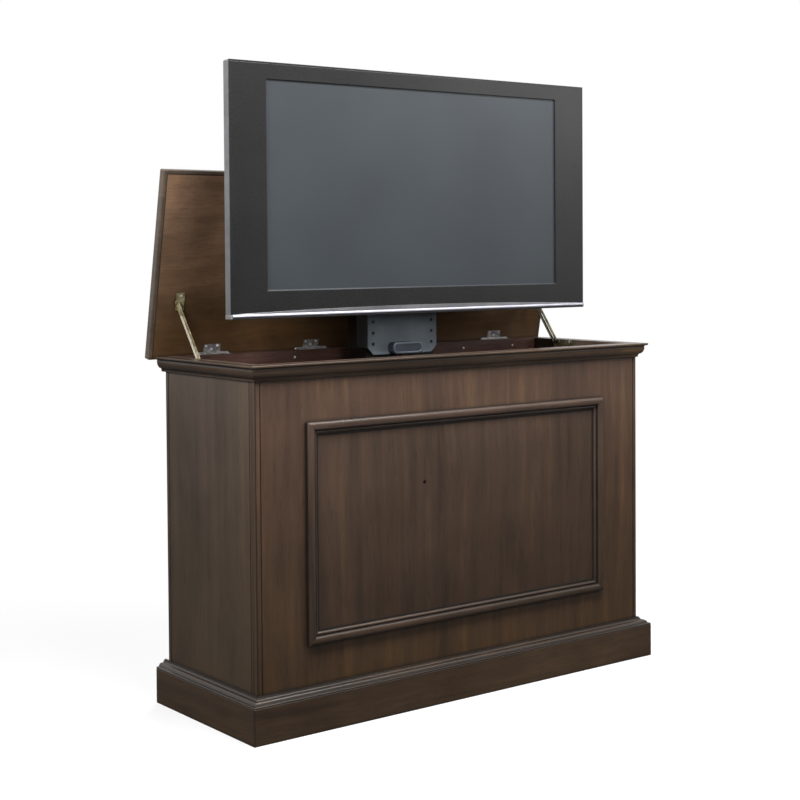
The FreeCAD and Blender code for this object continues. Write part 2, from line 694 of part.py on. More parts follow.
def stick(name, profile, start, end, outward, mitres):
    """A length of moulding between two places, its profile drawn as (out, up), mitred where told.

    Mitred ends belong to outside corners: the outer edge is longer than the line from start to end.
    """
    start, end = Vec(*map(val, start)), Vec(*map(val, end))
    length = (end - start).Length
    direction = (end - start).normalize()
    up = outward.cross(direction)
    reach = max(point[0] for point in profile) + 1
    tall = 2 * max(abs(point[1]) for point in profile)
    before, after = (reach if mitre else 0 for mitre in mitres)
    wire = outline(profile)
    wire.translate(Vec(0, -before, 0))
    solid = Part.Face(wire).extrude(Vec(0, length + before + after, 0))
    for mitre, place, sign in ((mitres[0], 0, -1), (mitres[1], length, 1)):
        if mitre:
            corners = [Vec(-reach, place - sign * reach, -tall), Vec(reach, place + sign * reach, -tall),
                       Vec(-reach, place + sign * reach, -tall)]
            wedge = Part.Face(Part.makePolygon(corners + corners[:1]))
            solid = solid.cut(wedge.extrude(Vec(0, 0, 2 * tall)))
    item = doc.addObject("Part::Feature", name)
    item.Shape = solid
    item.Placement = FreeCAD.Placement(FreeCAD.Matrix(
        outward.x, direction.x, up.x, start.x,
        outward.y, direction.y, up.y, start.y,
        outward.z, direction.z, up.z, start.z,
        0, 0, 0, 1))
    return node(item, name)


def crownProfile():
    """Bead, ogee, shadow line and a rounded flat nose, from the wall outwards."""
    out, high, nose = val("crownOut"), val("crownHeight"), val("crownNose")
    edge = nose / 4
    return [(0, 0, 0), (0.19 * out, 0.03 * high, 0), (0.19 * out, 0.08 * high, -0.03 * out),
            (0.30 * out, 0.24 * high, 0), (0.44 * out, 0.27 * high, 0.10 * out),
            (0.69 * out, 0.76 * high, 0), (0.70 * out, high - 1.3 * nose, -0.02 * out),
            (out - 2 * edge, high - nose, 0.4 * edge), (out, high - nose + 1.5 * edge, 0),
            (out, high - edge, 0.29 * edge), (out - edge, high, 0), (0, high, 0)]


def baseProfile():
    """A stepped ogee that climbs from the plinth's face to the wall."""
    out, high = val("plinthThick"), val("baseHeight")
    return [(0, 0, 0), (0.97 * out, 0, 0), (out, 0.10 * high, 0.02 * out), (0.92 * out, 0.22 * high, 0),
            (0.76 * out, 0.25 * high, 0), (0.74 * out, 0.33 * high, 0.06 * out),
            (0.46 * out, 0.62 * high, -0.06 * out), (0.26 * out, 0.86 * high, 0),
            (0.20 * out, 0.86 * high, 0), (0.20 * out, high, 0), (0, high, 0)]


def plinthProfile():
    out, high, ease = val("plinthThick"), val("plinthHeight"), val("plinthEase")
    return [(0, 0, 0), (out, 0, 0), (out, high - ease, 0.29 * ease), (out - ease, high, 0), (0, high, 0)]


def stickProfile():
    """Inner bead, rising flat and a high rounded outer edge; out runs away from the panel's middle."""
    out, high = val("stickWide"), val("stickHigh")
    return [(0, 0, 0), (out, 0, 0), (out, 0.30 * high, 0.13 * high), (0.84 * out, high, 0.06 * high),
            (0.66 * out, 0.84 * high, 0), (0.25 * out, 0.56 * high, 0),
            (0.22 * out, 0.42 * high, 0.10 * high), (0.03 * out, 0.10 * high, 0)]


def mouldings(screwsInRail):
    for name, low, profile in (("crown", "crownLow", crownProfile()),
                               ("base_moulding", "plinthHeight", baseProfile()),
                               ("plinth", "0", plinthProfile())):
        backLeft, frontLeft = ("-halfWide", "crownRear", low), ("-halfWide", "-halfDeep", low)
        frontRight, backRight = ("halfWide", "-halfDeep", low), ("halfWide", "crownRear", low)
        stick(f"{name}_front", profile, frontLeft, frontRight, FRONT, (True, True))
        stick(f"{name}_left", profile, backLeft, frontLeft, LEFT, (False, True))
        stick(f"{name}_right", profile, frontRight, backRight, RIGHT, (True, False))

    behind = ("halfDeep", "crownRear")
    strip = box("crown_strip", both("halfWide"), behind, ("crownLow", "bodyHeight"))
    node(cut("crown_back", strip, *leafSeats("strip_seat"), *screwsInRail), "crown_back")
    node(box("plinth_back", both("halfWide"), behind, ("0", "plinthHeight")), "plinth_back")

    corners = {(side, level): (f"{side}frameInner", "-halfDeep", level)
               for side in ("-", "") for level in ("frameInLow", "frameInHigh")}
    lowLeft, highLeft = corners["-", "frameInLow"], corners["-", "frameInHigh"]
    lowRight, highRight = corners["", "frameInLow"], corners["", "frameInHigh"]
    runs = (("top", highRight, highLeft, UP), ("bottom", lowLeft, lowRight, DOWN),
            ("left", highLeft, lowLeft, LEFT), ("right", lowRight, highRight, RIGHT))
    for name, start, end, outward in runs:
        stick(f"panel_moulding_{name}", stickProfile(), start, end, outward, (True, True))


# cable grommet, mains inlet and switch in the back panel

def inletOutline():
    return rect(("inletLeft + inletLip", "inletRight - inletLip"),
                ("inletBottom + inletLip", "inletTop - inletLip"))


def services():
    place = ("-grommetSide", "grommetHigh")
    sleeve = rod("grommet_sleeve", "y", place, "grommetBore + grommetWall", ("backInner", "halfDeep"))
    flange = rod("grommet_flange", "y", place, "grommetBore + grommetWall + grommetFlange",
                 ("halfDeep", "halfDeep + flangeThick"))
    bore = rod("grommet_hole", "y", place, "grommetBore", ("backInner", "halfDeep + flangeThick"))
    node(cut("cable_grommet", joined("grommet_shell", sleeve, flange), bore), "cable_grommet")

    inlet = newBody("inlet_block")
    pad(inlet, "inlet_body", "XZ_Plane", ("halfDeep - inletDeep", "halfDeep"), [inletOutline()])
    pad(inlet, "inlet_plate", "XZ_Plane", ("halfDeep", "inletOuter"),
        [rect(("inletLeft", "inletRight"), ("inletBottom", "inletTop"))])
    socket = box("socket_hole", ("socketX - socketWide / 2", "socketX + socketWide / 2"),
                 ("inletOuter - socketDeep", "inletOuter"),
                 ("inletHigh - socketTall / 2", "inletHigh + socketTall / 2"))
    half = "(switchWide / 2 + switchGap)"
    window = box("switch_window", (f"switchX - {half}", f"switchX + {half}"),
                 ("inletOuter - switchDeep", "inletOuter"),
                 ("inletHigh - switchTall / 2 - switchGap", "inletHigh + switchTall / 2 + switchGap"))
    pivots = rod("pivot_holes", "x", ("rockerY", "inletHigh"), "rockerPin + pinFit",
                 (f"switchX - {half} - rockerGrip - pinFit", f"switchX + {half} + rockerGrip + pinFit"))
    contacts = []
    for step in (-1, 0, 1):
        x = f"socketX + {step} * contactPitch"
        contacts.append(box("contact", (f"{x} - contactWide / 2", f"{x} + contactWide / 2"),
                            ("inletOuter - socketDeep", "inletOuter - socketDeep + contactLong"),
                            ("inletHigh - contactTall / 2", "inletHigh + contactTall / 2")))
    shell = cut("inlet_shell", inlet, socket, window, pivots)
    node(joined("mains_inlet", shell, *contacts), "mains_inlet")

    rocker = newBody("rocker")
    outer, neck = "switchTall / 2", "rockerNeck / 2"
    pad(rocker, "rocker_pad", "YZ_Plane", ("switchX - switchWide / 2", "switchX + switchWide / 2"),
        [[("rockerY - rockerTail", f"inletHigh - {neck}"), ("rockerY", f"inletHigh - {outer}"),
          ("rockerY + rockerEdge", f"inletHigh - {outer}"), ("rockerY + rockerCrest", "inletHigh"),
          ("rockerY + rockerEdge", f"inletHigh + {outer}"), ("rockerY", f"inletHigh + {outer}"),
          ("rockerY - rockerTail", f"inletHigh + {neck}")]])
    pin = rod("rocker_pin", "x", ("rockerY", "inletHigh"), "rockerPin",
              (f"switchX - {half} - rockerGrip", f"switchX + {half} + rockerGrip"))
    node(turned("power_switch", joined("rocker_and_pin", rocker, pin), "switchTilt", "rockerY", "inletHigh"),
         "power_switch")


# lid and hinges

def lidTurned(name, item):
    """A piece of the shut lid, swung open about the hinge line."""
    return node(turned(name, item, "lidOpen", "hingeY", "hingeZ"), name)


def hinge(x):
    """One hinge: its two leaves with their knuckles, and its pin."""
    axis = ("hingeY", "hingeZ")
    bore = rod("pin_bore", "x", axis, "pinRadius + pinFit",
               (f"{x} - railLeafLong / 2", f"{x} + railLeafLong / 2"))
    top = ("bodyHeight - leafThick", "bodyHeight")
    leaf = [box("rail_leaf", (f"{x} - railLeafLong / 2", f"{x} + railLeafLong / 2"),
                ("crownRear - railLeafDeep", "crownRear"), top)]
    for sign in (-1, 1):
        ends = sorted((f"{x} + {sign} * (lidLeafLong / 2)", f"{x} + {sign} * railLeafLong / 2"), key=val)
        leaf.append(box("rail_tongue", ends, ("crownRear", "hingeY"), top))
        leaf.append(rod("rail_knuckle", "x", axis, "knuckleRadius", ends))
    railLeaf = cut("rail_leaf_bored", joined("rail_leaf_blank", *leaf), bore)

    ends = (f"{x} - lidLeafLong / 2 + knuckleGap", f"{x} + lidLeafLong / 2 - knuckleGap")
    plate = box("lid_leaf", (f"{x} - lidLeafLong / 2", f"{x} + lidLeafLong / 2"),
                ("hingeY - lidLeafDeep", "hingeY - knuckleRadius - knuckleRoom"),
                ("lidLow", "lidLow + leafThick"))
    tongue = box("lid_tongue", ends, ("hingeY - knuckleRadius - knuckleRoom", "hingeY"),
                 ("lidLow", "lidLow + leafThick"))
    knuckle = rod("lid_knuckle", "x", axis, "knuckleRadius", ends)
    lidLeaf = cut("lid_leaf_bored", joined("lid_leaf_blank", plate, tongue, knuckle),
                  rod("lid_bore", "x", axis, "pinRadius + pinFit", ends))
    pin = rod("hinge_pin", "x", axis, "pinRadius",
              (f"{x} - railLeafLong / 2 - pinEnd", f"{x} + railLeafLong / 2 + pinEnd"))
    return railLeaf, lidLeaf, pin


def lid(screwsInRail, screwsInLid):
    board = newBody("lid_board")
    blank = pad(board, "lid_blank", "XY_Plane", ("lidLow", "lidHigh"),
                [rect(both("crownSide + lidSide"),
                      ("-halfDeep - crownOut - lidFront", "hingeY + lidTail"))])
    soften(board, "lid_ease", blank, "lidEase", lambda edge: True)
    tools = []
    for x in hingePlaces():
        tools.append(box("leaf_recess", (f"{x} - lidLeafLong / 2", f"{x} + lidLeafLong / 2"),
                         ("hingeY - lidLeafDeep", "hingeY"), ("lidLow", "lidLow + leafThick")))
        half = "railLeafLong / 2 + pinEnd + knuckleRoom"
        tools.append(rod("knuckle_notch", "x", ("hingeY", "hingeZ"), "knuckleRadius + knuckleRoom",
                         (f"{x} - ({half})", f"{x} + {half}")))
    lidTurned("lid_panel", cut("lid_board_cut", board, *tools, *screwsInLid))

    hinges = [hinge(x) for x in hingePlaces()]
    railLeaves, lidLeaves, pins = zip(*hinges)
    node(cut("hinge_rail_leaves", grouped("rail_leaves_blank", *railLeaves), *screwsInRail),
         "hinge_rail_leaves")
    node(grouped("hinge_pins", *pins), "hinge_pins")
    lidTurned("hinge_lid_leaves",
              cut("lid_leaves_cut", grouped("lid_leaves_blank", *lidLeaves), *screwsInLid))
    lidTurned("lid_screws", grouped("lid_screws_shut", *screwsInLid))


# lid stays

def cabinetBracket(sign):
    """A wedge of plate on the side panel, with the pin that the stay's slot slides along."""
    top = "bodyHeight - bracketRim"
    plate = newBody("bracket_plate")
    pad(plate, "bracket_pad", "YZ_Plane", sided(sign, "bracketX", "sideInner"),
        [[("stayPinY + bracketTail", top), ("stayPinY - bracketWide", top),
          ("stayPinY - bracketWide", f"{top} - bracketToe"),
          ("stayPinY - bracketHeel", f"{top} - bracketDown"),
          ("stayPinY + bracketTail", f"{top} - bracketDown")]])
    axis = ("stayPinY", "stayPinZ")
    pin = rod("lower_pin", "x", axis, "stayPin", sided(sign, "earX", "bracketX"))
    head = rod("lower_head", "x", axis, "stayHead", sided(sign, "earX - stayHeadThick", "earX"))
    return joined("cabinet_bracket", plate, pin, head)


def lidBracket(sign):
    """A base plate under the shut lid, an ear below it and the pin that carries the stay's end."""
    axis = ("lidPinY", "lidPinZ")
    under = ("lidLow - stayPlate", "lidLow")
    base = box("lid_plate", sided(sign, "earX - lidPlateWide - stayPlate", "earX"),
               ("lidPinY - lidPlateLong / 2", "lidPinY + lidPlateLong / 2"), under)
    thick = sided(sign, "earInnerX", "earX")
    web = box("ear_web", thick, ("lidPinY - earRadius", "lidPinY + earRadius"), ("lidPinZ", "lidLow"))
    ear = rod("ear_round", "x", axis, "earRadius", thick)
    pin = rod("upper_pin", "x", axis, "stayPin", sided(sign, "earX", "bracketX"))
    head = rod("upper_head", "x", axis, "stayHead", sided(sign, "bracketX", "bracketX + stayHeadThick"))
    return joined("lid_bracket", base, web, ear, pin, head)


def stayBar(sign, name):
    """A slotted flat bar hung from the upper pin; the lower pin stands at the slot's far end."""
    thick = sided(sign, "barInnerX", "barOuterX")
    blank = joined("bar_blank",
                   box("bar_flat", thick, both("barWide / 2"), ("-staySpan", "0")),
                   rod("bar_top", "x", ("0", "0"), "barWide / 2", thick),
                   rod("bar_tip", "x", ("0", "-staySpan"), "barWide / 2", thick))
    slotHalf = "stayPin + stayFit"
    slot = joined("bar_slot",
                  box("slot_flat", thick, both(slotHalf), ("-staySpan", "-slotStart")),
                  rod("slot_top", "x", ("0", "-slotStart"), slotHalf, thick),
                  rod("slot_tip", "x", ("0", "-staySpan"), slotHalf, thick))
    bar = cut("bar_cut", blank, slot, rod("bar_hole", "x", ("0", "0"), "stayPin + pinFit", thick))
    node(leaned(name, bar, "barTurn", "pinRestY", "pinRestZ"), name)


def stays(screwsInSides, screwsInLid):
    lower = grouped("stay_brackets_blank", cabinetBracket(-1), cabinetBracket(1))
    node(cut("stay_brackets", lower, *screwsInSides), "stay_brackets")
    upper = grouped("stay_lid_blank", lidBracket(-1), lidBracket(1))
    lidTurned("stay_lid_brackets", cut("stay_lid_cut", upper, *screwsInLid))
    stayBar(-1, "stay_bar_left")
    stayBar(1, "stay_bar_right")


# lift

def liftFoot(screwsInFloor):
    plate = box("base_plate", both("basePlateWide / 2"),
                ("screwY - basePlateDeep / 2", "screwY + basePlateDeep / 2"), ("floorThick", "baseTop"))
    node(cut("lift_base", plate, *screwsInFloor), "lift_base")

    shell = box("mast_outer", both("mastHalf"), ("mastFront", "mastRear"), ("baseTop", "mastTop"))
    inside = box("mast_inner", both("mastHalf - stageWall"),
                 ("mastFront + stageWall", "mastRear - stageWall"), ("baseTop", "mastTop"))
    node(cut("mast", shell, inside), "mast")

    height = ("braceLow", "braceLow + braceTall")
    brace = box("brace_outer", both("braceWide / 2"), ("mastRear", "backInner"), height)
    hollow = box("brace_inner", both("braceWide / 2 - braceThick"),
                 ("mastRear + braceThick", "backInner - braceThick"), height)
    node(cut("mast_brace", brace, hollow), "mast_brace")


def liftDrive():
    gear = newBody("gearbox")
    block = pad(gear, "gear_block", "XY_Plane", ("baseTop", "gearTop"),
                [rect(("-tubeRadius - gearWall", "motorX + motorRadius + gearWall"),
                      ("screwY - gearHalf", "screwY + gearHalf"))])
    soften(gear, "gear_ease", block, "gearEase", lambda edge: along(edge, "z"))
    node(gear, "gearbox")

    motorTop = "gearTop + motorHigh"
    motor = rod("motor_can", "z", ("motorX", "screwY"), "motorRadius", ("gearTop", motorTop))
    bell = rod("motor_bell", "z", ("motorX", "screwY"), "motorBell",
               (motorTop, f"{motorTop} + motorBellHigh"))
    node(joined("drive_motor", motor, bell), "drive_motor")

    span = ("gearTop", "gearTop + tubeHigh")
    tube = rod("tube_outer", "z", ("0", "screwY"), "tubeRadius", span)
    bore = rod("tube_bore", "z", ("0", "screwY"), "tubeRadius - tubeWall", span)
    node(cut("actuator_tube", tube, bore), "actuator_tube")
    node(rod("actuator_rod", "z", ("0", "screwY"), "rodRadius",
             ("gearTop + rodClear + liftTravel / 2", "capLow")), "actuator_rod")

    case = newBody("control_box")
    rear = "backInner - boxBehind"
    block = pad(case, "box_block", "XY_Plane", ("floorThick", "floorThick + boxHigh"),
                [rect(("boxSide - boxWide / 2", "boxSide + boxWide / 2"), (f"{rear} - boxDeep", rear))])
    floor = val("floorThick")
    soften(case, "box_ease", block, "boxEase", lambda edge: edge.CenterOfMass.z > floor + 0.01)
    node(case, "control_box")


def middleStage():
    """A channel that wraps the mast, open behind between its lips, with the belt's pulleys in front."""
    shell = box("stage_outer", both("middleHalf"), ("middleFront", "middleRear"), ("middleLow", "middleTop"))
    hollow = box("stage_inner", both("middleHalf - stageWall"),
                 ("middleFront + stageWall", "lipFront"), ("middleLow", "capLow"))
    opening = box("stage_opening", both("middleHalf - middleLip"), ("lipFront", "middleRear"),
                  ("middleLow", "capLow"))
    slot = box("belt_slot", both("beltSlotWide / 2"), ("middleFront", "middleFront + stageWall"),
               ("pulleyLow - beltOuter - slideGap", "pulleyHigh + beltOuter + slideGap"))
    cheeks = []
    for z in ("pulleyLow", "pulleyHigh"):
        for sign in (-1, 1):
            cheeks.append(box("cheek", sided(sign, "cheekX", "cheekX + cheekThick"),
                              ("middleFront + stageWall", "pulleyY + cheekReach"),
                              (f"{z} - cheekReach", f"{z} + cheekReach")))
    stage = joined("stage_blank", cut("stage_cut", shell, hollow, opening, slot), *cheeks)

    axles = [rod("axle", "x", ("pulleyY", z), "axleRadius", both("cheekX + cheekThick"))
             for z in ("pulleyLow", "pulleyHigh")]
    node(cut("middle_stage", stage, *axles), "middle_stage")
    node(grouped("pulley_axles", *axles), "pulley_axles")

    for z, name in (("pulleyHigh", "upper"), ("pulleyLow", "lower")):
        rim = rod("pulley_rim", "x", ("pulleyY", z), "pulleyRadius", both("pulleyWide / 2"))
        hub = rod("pulley_hub", "x", ("pulleyY", z), "pulleyHub", both("hubX"))
        bore = rod("pulley_bore", "x", ("pulleyY", z), "axleRadius + pinFit", both("hubX"))
        node(cut(f"belt_pulley_{name}", joined("pulley_blank", rim, hub), bore), f"belt_pulley_{name}")


def driveBelt():
    wide = both("beltWide / 2")

    def loop(name, radius):
        ends = [rod(name + "_end", "x", ("pulleyY", z), radius, wide) for z in ("pulleyLow", "pulleyHigh")]
        run = box(name + "_run", wide, (f"pulleyY - ({radius})", f"pulleyY + {radius}"),
                  ("pulleyLow", "pulleyHigh"))
        return joined(name, run, *ends)

    node(cut("drive_belt", loop("belt_outer", "beltOuter"), loop("belt_inner", "beltInner")), "drive_belt")
    clamp = both("clampWide / 2")
    node(box("mast_belt_clamp", clamp, ("pulleyY + beltOuter + beltGap", "mastFront"),
             ("mastTop - mastClampDown - clampHigh", "mastTop - mastClampDown")), "mast_belt_clamp")
    node(box("carriage_belt_clamp", clamp, ("webRear", "pulleyY - beltOuter - beltGap"),
             ("carriageLow + carriageClampUp", "carriageLow + carriageClampUp + clampHigh")),
         "carriage_belt_clamp")


def carriage(bolts):
    half = "plateWide / 2"
    face = [(f"-{half} + plateCorner", "carriageLow"), (f"{half} - plateCorner", "carriageLow"),
            (half, "carriageLow + plateCorner"), (half, "carriageTop"),
            (f"-{half}", "carriageTop"), (f"-{half}", "carriageLow + plateCorner")]
    holes = [(f"{sign} * ({half} - spareHoleIn)", f"carriageLow + spareHoleUp + {step} * spareHolePitch",
              "spareHoleRadius") for sign in (-1, 1) for step in range(3)]

    plate = newBody("plate_blank")
    pad(plate, "plate_pad", "XZ_Plane", ("plateFront", "plateRear"), [face])
    pocket(plate, "plate_holes", "XZ_Plane", ("plateFront", "plateRear"), holes)
    node(cut("mount_plate", plate, *bolts), "mount_plate")

    channel = newBody("channel_blank")
    pad(channel, "channel_web", "XZ_Plane", ("plateRear", "webRear"), [face])
    sides = ("carriageLow + plateCorner", "carriageTop")
    pad(channel, "channel_flanges", "XZ_Plane", ("webRear", "carriageRear"),
        [rect((f"-{half}", f"-{half} + stageWall"), sides), rect((f"{half} - stageWall", half), sides)])
    pocket(channel, "channel_holes", "XZ_Plane", ("plateRear", "webRear"), holes)
    node(cut("carriage_channel", channel, *bolts), "carriage_channel")

    cover = newBody("carriage_cover")
    block = pad(cover, "cover_block", "XZ_Plane", ("plateFront - coverDeep", "plateFront"),
                [rect(both("coverWide / 2"), ("carriageLow", "carriageLow + coverHigh"))])
    soften(cover, "cover_round", block, "coverRound",
           lambda edge: along(edge, "y") and at(edge, "z", ["carriageLow + coverHigh"]))
    node(cover, "carriage_cover")

    rails = []
    for sign in (-1, 1):
        inner = "boltX - tvRailWide / 2"
        height = ("tvLow + tvRailUp", "tvLow + tvRailUp + tvRailHigh")
        tube = box("tv_rail_outer", sided(sign, inner, f"{inner} + tvRailWide"),
                   ("rearBack", "plateFront"), height)
        bore = box("tv_rail_inner",
                   sided(sign, f"{inner} + tvRailWall", f"{inner} + tvRailWide - tvRailWall"),
                   ("rearBack + tvRailWall", "plateFront - tvRailWall"), height)
        rails.append(cut("tv_rail", tube, bore))
    node(cut("tv_rails", grouped("tv_rail_pair", *rails), *bolts), "tv_rails")
    node(grouped("tv_bolts", *bolts), "tv_bolts")


# television

def tvCorners(edge, half, low, high):
    """True for an edge along Y at a corner of the rectangle."""
    return along(edge, "y") and at(edge, "x", [half, f"-({half})"]) and at(edge, "z", [low, high])


def tvFrontPieces():
    inner = ("tvInner", "tvLow + bandThick", "tvTop - bandThick")
    apertureX = both("tvHalf - bezelSide")
    apertureZ = ("tvLow + bezelLow", "tvTop - bezelTop")
    panelX = both("tvHalf - bezelSide + screenLap")
    panelZ = ("tvLow + bezelLow - screenLap", "tvTop - bezelTop + screenLap")

    frame = newBody("tv_front_frame")
    board = pad(frame, "frame_board", "XZ_Plane", ("tvFront", "screenRear"),
                [rect(both(inner[0]), inner[1:])])
    soften(frame, "frame_corners", board, "tvCorner - bandThick", lambda edge: tvCorners(edge, *inner))
    pocket(frame, "frame_aperture", "XZ_Plane", ("tvFront", "screenY"), [rect(apertureX, apertureZ)])
    pocket(frame, "frame_rebate", "XZ_Plane", ("screenY", "screenRear"), [rect(panelX, panelZ)])
    node(frame, "tv_front_frame")
    node(box("tv_screen", panelX, ("screenY", "screenRear"), panelZ), "tv_screen")

    band = newBody("tv_edge_band")
    ring = pad(band, "band_ring", "XZ_Plane", ("tvFront + bandBack", "bandRear"),
               [rect(both("tvHalf"), ("tvLow", "tvTop")), rect(both(inner[0]), inner[1:])])
    outer = soften(band, "band_outer", ring, "tvCorner",
                   lambda edge: tvCorners(edge, "tvHalf", "tvLow", "tvTop"))
    soften(band, "band_inner", outer, "tvCorner - bandThick", lambda edge: tvCorners(edge, *inner))
    node(band, "tv_edge_band")

    # the trim's upper edge climbs to the middle along a shallow curve, in short straight runs
    runs = 13
    places = [1 - 2 * index / runs for index in range(runs + 1)]
    edge = [(f"{place:.6f} * tvInner", f"tvLow + trimEnd + trimRise * {1 - place ** 2:.6f}")
            for place in places]
    trim = newBody("tv_lower_trim")
    pad(trim, "trim_strip", "XZ_Plane", ("tvFront - trimProud", "tvFront"),
        [[("-tvInner", "tvLow"), ("tvInner", "tvLow")] + edge])
    node(trim, "tv_lower_trim")


def tvRearCover(bolts):
    inner = ("tvInner", "tvLow + bandThick", "tvTop - bandThick")
    flange = newBody("cover_flange")
    board = pad(flange, "flange_board", "XZ_Plane", ("screenRear", "bandRear"),
                [rect(both(inner[0]), inner[1:])])
    soften(flange, "flange_corners", board, "tvCorner - bandThick", lambda edge: tvCorners(edge, *inner))

    def level(inset):
        return f"tvHalf - ({inset})", f"tvLow + {inset}", f"tvTop - ({inset})"

    hood = frustum("cover_hood", ("bandRear", "rearBack"), level("bandThick + rearStep"), level("rearInset"))
    well = box("flange_well", both(level("bandThick + rearStep + rearWall")[0]), ("screenRear", "bandRear"),
               level("bandThick + rearStep + rearWall")[1:])
    hollow = frustum("hood_hollow", ("bandRear", "rearBack - rearWall"),
                     level("bandThick + rearStep + rearWall"), level("rearInset + rearWall"))
    vents = []
    low = "tvTop - rearInset - ventDown"
    count = int(val("ventRow / ventPitch"))
    for index in range(count):
        x = f"ventPitch * ({index} - {count - 1} / 2)"
        vents.append(box("vent", (f"{x} - ventWide / 2", f"{x} + ventWide / 2"),
                         ("rearBack - rearWall", "rearBack"), (low, f"{low} + ventHigh")))
    node(cut("tv_rear_cover", joined("cover_shell", flange, hood), well, hollow, *vents, *bolts),
         "tv_rear_cover")


railScrewList, bracketScrewList, baseScrewList = railScrews(), bracketScrews(), baseScrews()
lidScrewList, boltList = lidScrews(), tvBolts()
carcass(railScrewList, bracketScrewList, baseScrewList)
mouldings(railScrewList)
services()
lid(railScrewList, lidScrewList)
stays(bracketScrewList, lidScrewList)
node(grouped("wood_screws", *railScrewList, *bracketScrewList, *baseScrewList), "wood_screws")
liftFoot(baseScrewList)
liftDrive()
middleStage()
driveBelt()
carriage(boltList)
tvFrontPieces()
tvRearCover(boltList)
doc.recompute()

for item in doc.Objects:
    if "Invalid" in item.State or "Error" in item.State:
        raise RuntimeError(f"{item.Name} ({item.Label}) failed: {item.State}")
for item in nodes:
    if item.Shape.isNull() or not item.Shape.isValid():
        raise RuntimeError(f"{item.Label} has no valid shape")

os.makedirs("parts", exist_ok=True)
for item in nodes:
    item.Shape.exportStep(f"parts/{item.Label}.step")
    print(f"{item.Label}: {len(item.Shape.Solids)} solid(s), {item.Shape.Volume / 1000:.1f} cm3")
print(f"{len(nodes)} sub-parts written")
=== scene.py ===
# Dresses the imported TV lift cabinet: stained wood, plated fittings, painted lift and the television.
# Names that end in Mm, and the sections and profiles beside them, are in millimetres; Blender gets metres.
import json
import math

import bmesh
import bpy
from mathutils import Matrix, Vector

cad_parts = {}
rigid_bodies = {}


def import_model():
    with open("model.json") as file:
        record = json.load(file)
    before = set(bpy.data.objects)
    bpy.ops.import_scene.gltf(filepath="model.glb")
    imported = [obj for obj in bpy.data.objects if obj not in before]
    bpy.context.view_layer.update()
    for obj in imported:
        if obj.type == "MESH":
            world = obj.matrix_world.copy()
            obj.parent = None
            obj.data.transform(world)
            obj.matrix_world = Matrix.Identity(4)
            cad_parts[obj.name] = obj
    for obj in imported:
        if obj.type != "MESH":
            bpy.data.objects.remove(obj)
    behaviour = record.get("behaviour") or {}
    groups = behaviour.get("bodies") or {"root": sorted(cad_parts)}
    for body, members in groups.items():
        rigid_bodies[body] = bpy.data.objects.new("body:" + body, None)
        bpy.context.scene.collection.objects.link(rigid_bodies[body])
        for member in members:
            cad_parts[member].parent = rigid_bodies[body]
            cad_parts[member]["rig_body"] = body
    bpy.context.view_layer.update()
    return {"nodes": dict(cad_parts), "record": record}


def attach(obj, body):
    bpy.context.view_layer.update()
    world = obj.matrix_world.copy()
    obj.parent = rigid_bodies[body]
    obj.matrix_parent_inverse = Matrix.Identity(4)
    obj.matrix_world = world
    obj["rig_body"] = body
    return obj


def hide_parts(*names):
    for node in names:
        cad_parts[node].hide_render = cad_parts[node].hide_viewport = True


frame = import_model()
slotOf = {part["node"]: part["material_slot"] for part in frame["record"]["subparts"]}
print("frame loaded:", len(frame["nodes"]), "nodes")


def linear(colour):  # "#rrggbb" as seen on a screen, to the values that sockets take
    parts = [int(colour[i:i + 2], 16) / 255 for i in (1, 3, 5)]
    return tuple(c / 12.92 if c <= 0.04045 else ((c + 0.055) / 1.055) ** 2.4 for c in parts) + (1.0,)


# Settings go to properties or sockets, and a number is a socket's place: in a MapRange 1 and 2 are the range that
# comes in, 3 and 4 the one that goes out, and in a colour Mix 0 is the share, 6 and 7 are the two colours.
def addNode(tree, kind, settings=(), links=()):
    node = tree.nodes.new("ShaderNode" + kind)
    for key, value in dict(settings).items():
        if key == "stops":  # a ramp's colours, as (place, colour)
            stops = node.color_ramp.elements
            stops[0].position, stops[1].position = value[0][0], value[-1][0]
            for place, colour in value[1:-1]:
                stops.new(place)
            for stop, (place, colour) in zip(stops, value):
                stop.color = linear(colour)
        elif isinstance(key, str) and hasattr(node, key):
            setattr(node, key, value)
        else:
            node.inputs[key].default_value = value
    for key, output in dict(links).items():
        tree.links.new(output, node.inputs[key])
    return node


def newMaterial(name):
    material = bpy.data.materials.new(name)
    material.use_nodes = True
    tree = material.node_tree
    return material, tree, tree.nodes["Principled BSDF"]


def newPiece(name, mesh, body, slot, *replaced):
    piece = bpy.data.objects.new(name, mesh)
    bpy.context.scene.collection.objects.link(piece)
    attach(piece, body)
    if replaced:
        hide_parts(*replaced)
    return piece


# Wood: beech and birch veneer with a dark walnut stain, under satin lacquer. All of it shares these.
# Its edge tint, glaze tint and foot fade are painted shade: on outer edges, in inner corners and low down.
woodFilm = {"alongGrain": 0.045, "swayMm": 420, "swayBy": 0.05, "poreTint": "#8a8078", "edgeShadeTint": "#211c17",
            "glazeShadeTint": "#100b07", "footShadeAt": (0.05, 0.72), "glossSpread": (-0.05, 0.07), "reliefStrength": 0.25,
            "reliefM": 0.0003, "ior": 1.45, "waxRoughness": 0.22}


